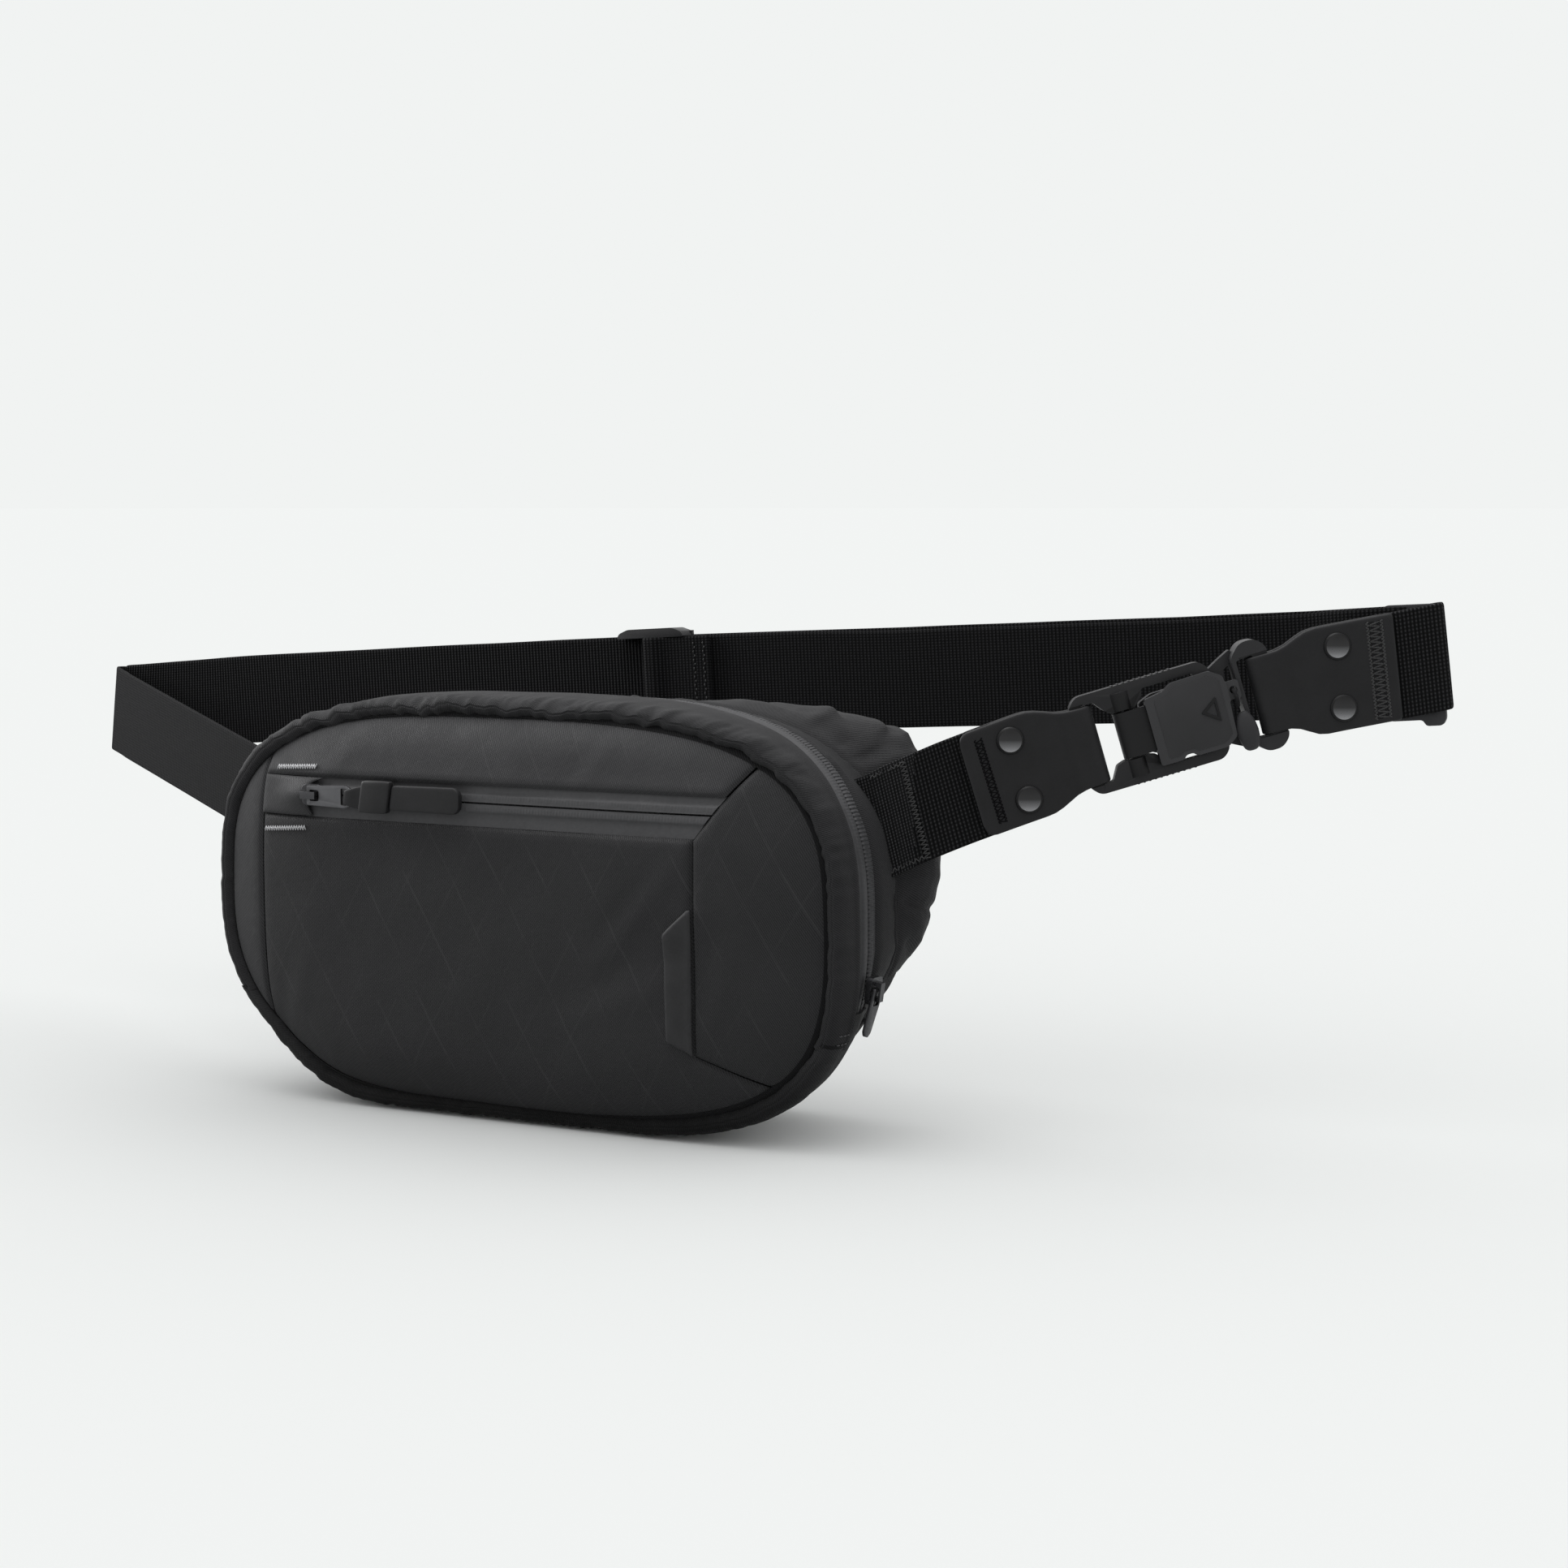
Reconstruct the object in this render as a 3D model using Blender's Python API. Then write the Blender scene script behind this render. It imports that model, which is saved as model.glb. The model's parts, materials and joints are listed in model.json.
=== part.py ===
"""Sling / hip bag: zipped two-shell fabric bag on a 38 mm webbing belt.

Frame: +X to the buckle side of the bag (the wearer's left), +Y towards the
wearer (back panel), +Z up, world origin on the bottom face under the bag.
"Left" and "right" are as seen from the front, so right is +X. Working numbers
are millimetres from the bag's centre, turned into metres when a mesh is made.
"""
import math

import bmesh
import bpy
from mathutils import Vector
from mathutils.geometry import delaunay_2d_cdt

for leftover in list(bpy.data.objects):
    bpy.data.objects.remove(leftover, do_unlink=True)

# ------------------------------------------------------------------ sizes
MM = 0.001
GAP = 0.4                 # running gap between neighbouring solids
HALF_GAP = GAP / 2
CENTRE_Z = 77.5           # bag centre above the bottom face
SHARP_ANGLE = math.radians(35)

BAG_HALF_WIDTH, BAG_HALF_HEIGHT = 137.5, 78.5       # gusset
FRONT_HALF_WIDTH, FRONT_HALF_HEIGHT = 131.4, 72.4   # front panel
FRONT_SQUARENESS = 3.2
FRONT_SEAM_Y = -33.6      # front edge of the gusset
FRONT_EDGE_Y = -36.0      # outer face of the front panel at its edge
CROWN = 9.6               # how far the front panel swells
BACK_Y = 38.0             # rear edge of the gusset
BACK_PANEL_Y = 42.4       # rear face of the back panel
FABRIC = 2.4              # padded gusset wall
PANEL_WALL = 2.0          # front panel wall

MOUTH_Y = -18.0           # mouth plane at the sides and the bottom
MOUTH_HALF_GAP = 0.6      # half gap between the two base pieces
ZIP_HALF = 6.0            # half width of the main zip with its tapes
ZIP_HALF_SLIT = 0.5
ZIP_BEND_X = 130.0        # above the centre the zip line starts to move back here
ZIP_BEND_RUN = 90.0       # and is fully back after this run towards the middle
ZIP_BEND_DEPTH = 22.0
TAPE_WALL = 1.2
RIGHT_SEAM_DEG = -17.0    # where the base piece meets the side gusset
LEFT_SEAM_DEG = 180.0 - RIGHT_SEAM_DEG
SEAM_GAP_DEG = 0.15
TAPE_GAP_DEG = 0.4

WEB_WIDTH = 38.0
WEB_THICKNESS = 1.3


# ------------------------------------------------------------------ materials
def material(name, colour, roughness, metallic=0.0):
    """A plain Principled material; one of the same name is reused."""
    result = bpy.data.materials.get(name) or bpy.data.materials.new(name)
    result.use_nodes = True
    inputs = result.node_tree.nodes["Principled BSDF"].inputs
    inputs["Base Color"].default_value = (*colour, 1.0)
    inputs["Roughness"].default_value = roughness
    inputs["Metallic"].default_value = metallic
    return result


BAG_FABRIC = material("bag_fabric", colour=(0.022, 0.022, 0.023), roughness=0.75)
GUSSET_FABRIC = material("gusset_fabric", colour=(0.017, 0.017, 0.018), roughness=0.8)
ZIP_TAPE = material("coated_zip_tape", colour=(0.050, 0.050, 0.052), roughness=0.5)
WEBBING = material("webbing", colour=(0.008, 0.008, 0.009), roughness=0.85)
RUBBER = material("rubberised_tab", colour=(0.014, 0.014, 0.015), roughness=0.55)
PLASTIC = material("buckle_plastic", colour=(0.020, 0.020, 0.022), roughness=0.45)
GREY_PLASTIC = material("grey_plastic", colour=(0.09, 0.09, 0.095), roughness=0.5)
METAL = material("black_metal", colour=(0.020, 0.020, 0.022), roughness=0.3, metallic=0.8)
LINING = material("lining", colour=(0.10, 0.10, 0.105), roughness=0.8)
FOAM = material("foam", colour=(0.05, 0.05, 0.05), roughness=0.9)
MAGNET = material("magnet", colour=(0.35, 0.35, 0.36), roughness=0.3, metallic=1.0)
THREAD = material("grey_thread", colour=(0.45, 0.45, 0.46), roughness=0.8)


# ------------------------------------------------------------------ mesh tools
def make(name, points, faces, finish):
    """One object from millimetre points; its origin is the bag's centre."""
    mesh = bpy.data.meshes.new(name)
    mesh.from_pydata([Vector(point) * MM for point in points], [], faces)
    work = bmesh.new()
    work.from_mesh(mesh)
    bmesh.ops.recalc_face_normals(work, faces=work.faces)
    work.to_mesh(mesh)
    work.free()
    mesh.shade_smooth()
    mesh.set_sharp_from_angle(angle=SHARP_ANGLE)
    mesh.materials.append(finish)
    obj = bpy.data.objects.new(name, mesh)
    obj.location = Vector((0, 0, CENTRE_Z)) * MM
    bpy.context.scene.collection.objects.link(obj)
    return obj


def sweep(name, rings, finish, closed=False):
    """Skin a list of equal rings of points; open sweeps get end caps."""
    size, count = len(rings[0]), len(rings)
    faces = []
    for i in range(count if closed else count - 1):
        this, following = i * size, (i + 1) % count * size
        for j in range(size):
            k = (j + 1) % size
            faces.append((this + j, this + k, following + k, following + j))
    if not closed:
        faces.append(tuple(range(size - 1, -1, -1)))
        faces.append(tuple((count - 1) * size + j for j in range(size)))
    return make(name, [point for ring in rings for point in ring], faces, finish)


def subdivide(outline, spacing):
    """The closed outline with each side split into steps near the spacing."""
    result = []
    for i, start in enumerate(outline):
        end = outline[(i + 1) % len(outline)]
        length = math.hypot(end[0] - start[0], end[1] - start[1])
        steps = max(1, int(round(length / spacing)))
        result += [(start[0] + (end[0] - start[0]) * j / steps,
                    start[1] + (end[1] - start[1]) * j / steps) for j in range(steps)]
    return result


def inside(outline, point, margin=0.0):
    """Whether a point is inside the outline and at least margin from it."""
    px, py = point
    result = False
    for i, (x1, y1) in enumerate(outline):
        x2, y2 = outline[(i + 1) % len(outline)]
        if (y1 > py) != (y2 > py) and px < (x2 - x1) * (py - y1) / (y2 - y1) + x1:
            result = not result
        if margin:
            dx, dy = x2 - x1, y2 - y1
            share = ((px - x1) * dx + (py - y1) * dy) / (dx * dx + dy * dy + 1e-9)
            share = max(0, min(1, share))
            if math.hypot(x1 + dx * share - px, y1 + dy * share - py) < margin:
                return False
    return result


def grid_points(outline, holes, step):
    """Staggered rows of points inside an outline."""
    us, vs = [p[0] for p in outline], [p[1] for p in outline]
    points = []
    row, v = 0, min(vs) + step * 0.5
    while v < max(vs):
        u = min(us) + (0.5 if row % 2 else 1.0) * step
        while u < max(us):
            if inside(outline, (u, v), step * 0.5) and not any(inside(h, (u, v)) for h in holes):
                points.append((u, v))
            u += step
        v += step * 0.87
        row += 1
    return points


def sheet(name, outline, lower, upper, finish, edge, grid=None, holes=()):
    """A closed sheet over a flat outline: lower(u, v) and upper(u, v) give its faces.

    edge spaces the points along the outline; grid, if given, those within it.
    """
    points = subdivide(outline, edge)
    edges = [(i, (i + 1) % len(points)) for i in range(len(points))]
    for hole in holes:
        base = len(points)
        points += hole
        edges += [(base + i, base + (i + 1) % len(hole)) for i in range(len(hole))]
    if grid:
        points += grid_points(outline, holes, grid)
    flat, _, cells, _, _, _ = delaunay_2d_cdt([Vector(p) for p in points], edges, [], 1, 1e-5)

    kept = []
    for cell in cells:
        middle = (sum(flat[i].x for i in cell) / len(cell),
                  sum(flat[i].y for i in cell) / len(cell))
        if inside(outline, middle) and not any(inside(hole, middle) for hole in holes):
            kept.append(tuple(cell))
    count = len(flat)
    faces = kept + [tuple(i + count for i in reversed(cell)) for cell in kept]
    directed = dict.fromkeys((cell[i], cell[(i + 1) % len(cell)])
                             for cell in kept for i in range(len(cell)))
    for start, end in directed:
        if (end, start) not in directed:    # a border edge: close it with a wall
            faces.append((end, start, start + count, end + count))
    solid = [lower(p.x, p.y) for p in flat] + [upper(p.x, p.y) for p in flat]
    used = sorted({i for face in faces for i in face})
    index = {old: new for new, old in enumerate(used)}
    return make(name, [solid[i] for i in used],
                [tuple(index[i] for i in face) for face in faces], finish)


class Frame:
    """A local frame: along, across, and out towards the outside."""

    def __init__(self, origin, along, across, out):
        self.origin = Vector(origin)
        self.along = Vector(along).normalized()
        self.across = Vector(across).normalized()
        self.out = Vector(out).normalized()

    def at(self, along, across, out):
        return self.origin + self.along * along + self.across * across + self.out * out


def plate(name, frame, outline, low, high, finish, holes=()):
    """A flat plate between two distances out from the frame."""
    return sheet(name, outline, lambda u, v: frame.at(u, v, high),
                 lambda u, v: frame.at(u, v, low), finish, edge=400.0, holes=holes)


def lathe(name, frame, centre, profile, finish, segments=14, axis="out"):
    """Turn a profile of (radius, height) about an axis through the centre."""
    side, up, axle = {"out": (frame.along, frame.across, frame.out),
                      "across": (frame.out, frame.along, frame.across)}[axis]
    middle = frame.at(*centre)
    points, faces, rows = [], [], []
    for radius, height in profile:
        if radius < 1e-6:
            rows.append([len(points)])
            points.append(middle + axle * height)
            continue
        rows.append(list(range(len(points), len(points) + segments)))
        for i in range(segments):
            turn = 2 * math.pi * i / segments
            points.append(middle + side * (radius * math.cos(turn))
                          + up * (radius * math.sin(turn)) + axle * height)
    for row, after in zip(rows, rows[1:]):
        for i in range(segments):
            j = (i + 1) % segments
            if len(row) == 1:
                faces.append((row[0], after[i], after[j]))
            elif len(after) == 1:
                faces.append((row[i], row[j], after[0]))
            else:
                faces.append((row[i], row[j], after[j], after[i]))
    return make(name, points, faces, finish)


def rod(name, frame, centre, radius, start, end, finish, segments=12, axis="across"):
    profile = [(0, start), (radius, start), (radius, end), (0, end)]
    return lathe(name, frame, centre, profile, finish, segments, axis)


def boolean(target, tool, operation="DIFFERENCE"):
    """Cut or join a hidden helper with the target."""
    tool.hide_render = True
    tool.display_type = "WIRE"
    modifier = target.modifiers.new(operation.lower() + "_" + tool.name, "BOOLEAN")
    modifier.operation = operation
    modifier.solver = "EXACT"
    modifier.object = tool


def boolean_plates(target, frame, operation, parts):
    """Cut or join plates given as (name, outline, low, high)."""
    for name, outline, low, high in parts:
        tool = plate(name, frame, outline, low, high, target.data.materials[0])
        boolean(target, tool, operation)


def rectangle(u0, u1, v0, v1):
    return [(u0, v0), (u1, v0), (u1, v1), (u0, v1)]


def interpolate(table, x):
    """The row of a table at x (its first column), clamped at both ends."""
    if x <= table[0][0]:
        return table[0][1:]
    for row, after in zip(table, table[1:]):
        if x <= after[0]:
            share = (x - row[0]) / (after[0] - row[0])
            return tuple(u + (v - u) * share for u, v in zip(row[1:], after[1:]))
    return table[-1][1:]


# ------------------------------------------------------------------ bag outline
WIDEST_END_Y = -6.0       # the gusset starts to narrow behind this depth
HEIGHT_INSET = 0.35       # share of the inset taken off the height behind it
SPACING_Y = -20.0         # depth at which outline points are evenly spaced

# gusset section by depth: y, inset of the outline, squareness, bottom rise
SECTION = [
    (FRONT_SEAM_Y, 5.5, 3.2, 0.0), (-30.0, 1.6, 3.15, 0.0), (-26.0, 0.0, 3.1, 0.0),
    (WIDEST_END_Y, 0.0, 3.1, 0.0), (6.0, 1.4, 3.0, 0.0), (20.0, 5.5, 2.8, 0.0),
    (30.0, 9.5, 2.7, 3.0), (BACK_Y, 15.5, 2.6, 9.0),
]


def superellipse_radius(angle, half_width, half_height, power):
    across = abs(math.cos(angle)) / half_width
    up = abs(math.sin(angle)) / half_height
    return 1.0 / (across ** power + up ** power) ** (1.0 / power)


def shell_point(angle, y, inset=0.0):
    """A point of the bag's outer skin in a direction from the centre at depth y."""
    narrowing, squareness, rise = interpolate(SECTION, y)
    lowering = narrowing * HEIGHT_INSET if y > WIDEST_END_Y else narrowing
    radius = superellipse_radius(angle, BAG_HALF_WIDTH - narrowing - inset,
                                 BAG_HALF_HEIGHT - lowering - inset, squareness)
    floor = -(CENTRE_Z - rise) + inset
    return Vector((radius * math.cos(angle), y, max(radius * math.sin(angle), floor)))


def even_angles(first, last, count):
    """Directions evenly spaced along the outline between two directions."""
    samples = 720
    angles = [first + (last - first) * i / samples for i in range(samples + 1)]
    points = [shell_point(angle, SPACING_Y) for angle in angles]
    travelled = [0.0]
    for start, end in zip(points, points[1:]):
        travelled.append(travelled[-1] + (end - start).length)
    result, k = [], 0
    for i in range(count + 1):
        target = travelled[-1] * i / count
        while k < samples - 1 and travelled[k + 1] < target:
            k += 1
        share = (target - travelled[k]) / (travelled[k + 1] - travelled[k])
        result.append(angles[k] + (angles[k + 1] - angles[k]) * share)
    return result


def zip_y(angle):
    """Depth of the main zip line: forward at the sides, further back on top."""
    point = shell_point(angle, SPACING_Y)
    if point.z < 0:
        return MOUTH_Y
    share = min(max((ZIP_BEND_X - abs(point.x)) / ZIP_BEND_RUN, 0.0), 1.0)
    return MOUTH_Y + ZIP_BEND_DEPTH * math.sin(share * math.pi / 2)


# ------------------------------------------------------------------ bag shells
def at_depth(y):
    return lambda angle: y


def off_zip(offset):
    return lambda angle: zip_y(angle) + offset


def shell_strip(name, span, count, front, rear, bands, finish, wall=FABRIC):
    """A strip of the gusset between two depths, over a span in degrees."""
    rings = []
    for angle in even_angles(math.radians(span[0]), math.radians(span[1]), count):
        start, end = front(angle), rear(angle)
        depths = [start + (end - start) * i / bands for i in range(bands + 1)]
        rings.append([shell_point(angle, y) for y in depths]
                     + [shell_point(angle, y, wall) for y in reversed(depths)])
    sweep(name, rings, finish)


def gusset():
    """Side and top strips in front of and behind the zip, and the base strips."""
    upper = (RIGHT_SEAM_DEG + SEAM_GAP_DEG, LEFT_SEAM_DEG - SEAM_GAP_DEG)
    base = (LEFT_SEAM_DEG + SEAM_GAP_DEG, 360 + RIGHT_SEAM_DEG - SEAM_GAP_DEG)
    front, rear = at_depth(FRONT_SEAM_Y), at_depth(BACK_Y)
    shell_strip("front_gusset", upper, 46, front, off_zip(-ZIP_HALF - GAP), 3, GUSSET_FABRIC)
    shell_strip("rear_gusset", upper, 46, off_zip(ZIP_HALF + GAP), rear, 4, GUSSET_FABRIC)
    shell_strip("base_gusset_front", base, 30, front, at_depth(MOUTH_Y - MOUTH_HALF_GAP), 3,
                GUSSET_FABRIC)
    shell_strip("base_gusset_rear", base, 30, at_depth(MOUTH_Y + MOUTH_HALF_GAP), rear, 5,
                GUSSET_FABRIC)


def main_zip_tapes():
    span = (RIGHT_SEAM_DEG + TAPE_GAP_DEG, LEFT_SEAM_DEG - TAPE_GAP_DEG)
    for side, start, end in (("front", -ZIP_HALF, -ZIP_HALF_SLIT),
                             ("rear", ZIP_HALF_SLIT, ZIP_HALF)):
        shell_strip("main_zip_tape_" + side, span, 46, off_zip(start), off_zip(end), 1,
                    ZIP_TAPE, wall=TAPE_WALL)


def back_sheets():
    """Back panel, with the foam pad and lining in front of it."""
    # name, inset of the outline, rear y, front y, material
    for name, inset, rear, front, finish in (
            ("back_panel", -1.0, BACK_PANEL_Y, BACK_Y + GAP, GUSSET_FABRIC),
            ("back_foam_pad", 8.0, BACK_Y - 0.1, BACK_Y - 6.0, FOAM),
            ("back_lining", 9.5, BACK_Y - 6.5, BACK_Y - 7.5, LINING)):
        ring = [shell_point(angle, BACK_Y, inset)
                for angle in even_angles(0, 2 * math.pi, 44)[:-1]]
        sheet(name, [(point.x, point.z) for point in ring],
              lambda x, z: (x, rear, z), lambda x, z: (x, front, z), finish, edge=60)


# side wings that carry the belt ends, front to back: x, y, lower z, upper z
WING = [
    (139.4, 6.9, -2.0, 60.0), (148.6, 12.9, 4.0, 56.0), (147.0, 21.0, -4.0, 60.0),
    (137.5, 32.5, -22.0, 62.0), (129.5, 38.2, -30.0, 58.0),
]
WING_HALF_WALL = 1.0
LEFT_WING_SHIFT = -6.0    # the left wing sits this much lower


def wing(name, side, shift):
    """side is 1 for +X and -1 for -X."""
    path = [Vector(row[:2]) for row in WING]
    rings = []
    for i, (_, _, low, high) in enumerate(WING):
        heading = (path[min(i + 1, len(path) - 1)] - path[max(i - 1, 0)]).normalized()
        offset = Vector((heading.y, -heading.x)) * WING_HALF_WALL
        outer, inner = path[i] + offset, path[i] - offset
        heights = [low + shift + (high - low) * share for share in (0.0, 0.33, 0.67, 1.0)]
        rings.append([Vector((outer.x * side, outer.y, z)) for z in heights]
                     + [Vector((inner.x * side, inner.y, z)) for z in reversed(heights)])
    sweep(name, rings, GUSSET_FABRIC)


gusset()
main_zip_tapes()
back_sheets()
wing("wing_right", 1, 0.0)
wing("wing_left", -1, LEFT_WING_SHIFT)

# ------------------------------------------------------------------ front face
POCKET_ZIP_LOW, POCKET_ZIP_HIGH = 32.2, 46.9    # seams of the pocket zip band
POCKET_ZIP_Z = 40.6                             # pocket zip line
LEFT_SEAM_X = -111.6
TAPE_START_X = -84.0      # left end of the pocket zip tapes
SEAM_RADIUS = 105         # mean radius used to count the points of an arc
SEAM_STEP = 9.0

# where the seams meet the outline: x, z
LOW_RIGHT = (111.1, -55.0)
TOP_RIGHT = (104.4, 59.1)
TOP_LEFT = (LEFT_SEAM_X, 54.6)
LOW_LEFT = (LEFT_SEAM_X, -54.6)


def front_y(x, z):
    """Outer face of the crowned front."""
    power = FRONT_SQUARENESS
    reach = ((abs(x) / FRONT_HALF_WIDTH) ** power
             + (abs(z) / FRONT_HALF_HEIGHT) ** power) ** (1 / power)
    return FRONT_EDGE_Y - CROWN * (1 - min(reach, 1.0) ** 7)


def seam_arc(start, end):
    """Points of the front outline, anticlockwise from start's direction to end's."""
    first, last = math.atan2(start[1], start[0]), math.atan2(end[1], end[0])
    if last < first:
        last += 2 * math.pi
    steps = max(2, int((last - first) * SEAM_RADIUS / SEAM_STEP))
    points = []
    for i in range(steps + 1):
        angle = first + (last - first) * i / steps
        radius = superellipse_radius(angle, FRONT_HALF_WIDTH, FRONT_HALF_HEIGHT,
                                     FRONT_SQUARENESS)
        points.append((radius * math.cos(angle), radius * math.sin(angle)))
    return points


def shifted(point, dx, dz):
    return (point[0] + dx, point[1] + dz)


def panel(name, outline, finish, behind=PANEL_WALL, ahead=0.0, grid=15.0, edge=12.0):
    """A piece of the crowned front, from ahead of its face to behind it."""
    sheet(name, outline, lambda x, z: (x, front_y(x, z) - ahead, z),
          lambda x, z: (x, front_y(x, z) + behind, z), finish, edge=edge, grid=grid)


def front_panels():
    seam_right, seam_left = LEFT_SEAM_X + HALF_GAP, LEFT_SEAM_X - HALF_GAP
    band_low, band_high = POCKET_ZIP_LOW - HALF_GAP, POCKET_ZIP_HIGH + HALF_GAP
    panel("front_panel_main",
          [(seam_right, band_low), (seam_right, LOW_LEFT[1] + .5)]
          + seam_arc(shifted(LOW_LEFT, 1.5, -.7), shifted(LOW_RIGHT, -.8, -.8))
          + [(82.0, -45.0), (81.5, band_low)], BAG_FABRIC, grid=17.0)
    panel("front_panel_top",
          [(seam_right, band_high), (93.1, band_high)]
          + seam_arc(shifted(TOP_RIGHT, -1.2, .6), shifted(TOP_LEFT, 1.4, .6)), BAG_FABRIC)
    panel("front_panel_left",
          seam_arc(shifted(TOP_LEFT, -.6, -.3), shifted(LOW_LEFT, -.6, .3))
          + [(seam_left, LOW_LEFT[1] + 1.2), (seam_left, TOP_LEFT[1] - 1.2)], BAG_FABRIC)
    panel("front_panel_right",
          seam_arc(shifted(LOW_RIGHT, .6, .6), shifted(TOP_RIGHT, .5, -.5))
          + [(94.1, POCKET_ZIP_HIGH + .1), (82.1, POCKET_ZIP_LOW - .2), (82.5, -44.4)],
          BAG_FABRIC)


def pocket_zip_band():
    """Two tapes and the plain piece at their left end."""
    low, high = POCKET_ZIP_LOW + HALF_GAP, POCKET_ZIP_HIGH - HALF_GAP
    below, above = POCKET_ZIP_Z - GAP, POCKET_ZIP_Z + GAP
    for name, outline in (
            ("lower", [(TAPE_START_X, low), (81.7, low), (87.8, below), (TAPE_START_X, below)]),
            ("upper", [(TAPE_START_X, above), (88.4, above), (92.9, high),
                       (TAPE_START_X, high)])):
        panel("pocket_zip_tape_" + name, outline, ZIP_TAPE, behind=TAPE_WALL, edge=13.0, grid=30)
    panel("zip_garage", rectangle(LEFT_SEAM_X + HALF_GAP, -84.4, low, high), BAG_FABRIC)


def front_trim():
    """Side label and bartacks, slightly proud of the front."""
    panel("side_label", [(80.9, 7.0), (70.7, -2.2), (71.6, -40.6), (81.6, -44.6)], RUBBER,
          behind=-0.6, ahead=1.5)
    for name, outline in (("bartack_upper", rectangle(-104.5, -84.0, 49.4, 51.2)),
                          ("bartack_lower", rectangle(-109.4, -88.0, 26.3, 28.1))):
        panel(name, outline, THREAD, behind=-0.4, ahead=1.1, edge=20)


def pocket_liner():
    near = PANEL_WALL + 2.2
    far = PANEL_WALL + 3.2
    sheet("pocket_liner", [(-104, -42), (-92, -48), (64, -48), (70, -38), (70, 44), (-104, 44)],
          lambda x, z: (x, front_y(x, z) + near, z), lambda x, z: (x, front_y(x, z) + far, z),
          LINING, edge=22, grid=26)


front_panels()
pocket_zip_band()
front_trim()
pocket_liner()

# ------------------------------------------------------------------ zip sliders and pulls
SLIDER_X = -83.0          # pocket slider centre
BRIDGE_HALF = 1.4         # half width of a slider's bridge
PULL_TAB_START = 38.4
PULL_TAB_STRAIGHT = 26.4  # to the centres of its rounded corners
PULL_TAB_CORNER = 3.6
PULL_TAB_CORNER_V = 1.4   # corner centres off the middle line
CORNER_TURNS = (0.0, .5, 1.05, 1.57)

MAIN_ARC_X, MAIN_ARC_RADIUS = 4.7, 135.0    # arc of the main slider round the side
MAIN_SLIDER_DROP = 20.0                     # main slider below the bag's centre


def slider(name, frame, outline, thickness, bridge):
    """Slider body with a raised bridge of (name suffix, start, end, low, high)."""
    body = plate(name, frame, outline, 0.0, thickness, METAL)
    boolean_plates(body, frame, "UNION", [
        (name + "_bridge" + suffix, rectangle(start, end, -BRIDGE_HALF, BRIDGE_HALF), low, high)
        for suffix, start, end, low, high in bridge])


def pocket_pull(frame):
    """Metal pull, ribbon, keeper and rubber tab, in a row to the right."""
    plate("pocket_pull", frame,
          [(-1.1, -3.8), (17.0, -3.2), (19.2, -1.8), (19.2, 1.8), (17.0, 3.2), (-1.1, 3.8)],
          2.55, 3.75, METAL,
          holes=[rectangle(0.2, 5.0, -2.4, 2.4), rectangle(15.0, 17.8, -2.1, 2.1)])
    # ribbon stations: along, half width, low, high
    stations = ((19.7, 3.1, 2.5, 3.7), (21.4, 3.4, 2.3, 3.9), (23.7, 3.6, 2.3, 3.9))
    sweep("pull_ribbon", [[frame.at(along, half, low), frame.at(along, -half, low),
                           frame.at(along, -half, high), frame.at(along, half, high)]
                          for along, half, low, high in stations], WEBBING)
    plate("pull_keeper", frame, rectangle(24.3, 37.2, -5.8, 5.8), 1.7, 5.0, RUBBER)
    corner_u = PULL_TAB_START + PULL_TAB_STRAIGHT
    radius, corner_v = PULL_TAB_CORNER, PULL_TAB_CORNER_V
    outline = [(PULL_TAB_START, -4.6)]
    outline += [(corner_u + radius * math.sin(t), -corner_v - radius * math.cos(t))
                for t in CORNER_TURNS]
    outline += [(corner_u + radius * math.cos(t), corner_v + radius * math.sin(t))
                for t in CORNER_TURNS]
    outline.append((PULL_TAB_START, 4.6))
    plate("pull_tab", frame, outline, 1.7, 4.4, RUBBER)


def pocket_zip_slider():
    """Along is +X, across is up and out is forwards."""
    frame = Frame((SLIDER_X, front_y(0, POCKET_ZIP_Z) - 0.5, POCKET_ZIP_Z),
                  (1, 0, 0), (0, 0, 1), (0, -1, 0))
    slider("pocket_slider", frame,
           [(-4.6, -3.0), (-2.8, -4.0), (3.4, -4.0), (4.8, -2.2),
            (4.8, 2.2), (3.4, 4.0), (-2.8, 4.0), (-4.6, 3.0)], 2.2,
           [("", -3.4, -1.6, 1.8, 4.9), ("_top", -3.4, 3.4, 4.1, 5.0),
            ("_end", 2.0, 3.4, 1.8, 4.9)])
    pocket_pull(frame)


def main_zip_slider():
    """On the right side: along is up the arc, across is forwards; the pull hangs down."""
    turn = -math.asin(MAIN_SLIDER_DROP / MAIN_ARC_RADIUS)
    cos, sin = math.cos(turn), math.sin(turn)
    frame = Frame((MAIN_ARC_X + MAIN_ARC_RADIUS * cos, MOUTH_Y, MAIN_ARC_RADIUS * sin),
                  (-sin, 0, cos), (0, -1, 0), (cos, 0, sin))
    slider("main_slider", frame,
           [(-5.0, -2.6), (-3.0, -4.2), (3.6, -4.2), (5.0, -3.0),
            (5.0, 3.0), (3.6, 4.2), (-3.0, 4.2), (-5.0, 2.6)], 2.0,
           [("", 2.0, 3.4, 1.6, 4.6), ("_end", -3.4, -2.0, 1.6, 4.6),
            ("_top", -3.4, 3.4, 3.8, 4.6)])
    plate("main_pull", frame,
          [(-13.6, -2.6), (-15.4, -1.0), (-15.4, 1.0), (-13.6, 2.6), (1.3, 3.3), (1.3, -3.3)],
          2.35, 3.45, METAL, holes=[rectangle(-4.8, 0.1, -2.0, 2.0)])


pocket_zip_slider()
main_zip_slider()

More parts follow.
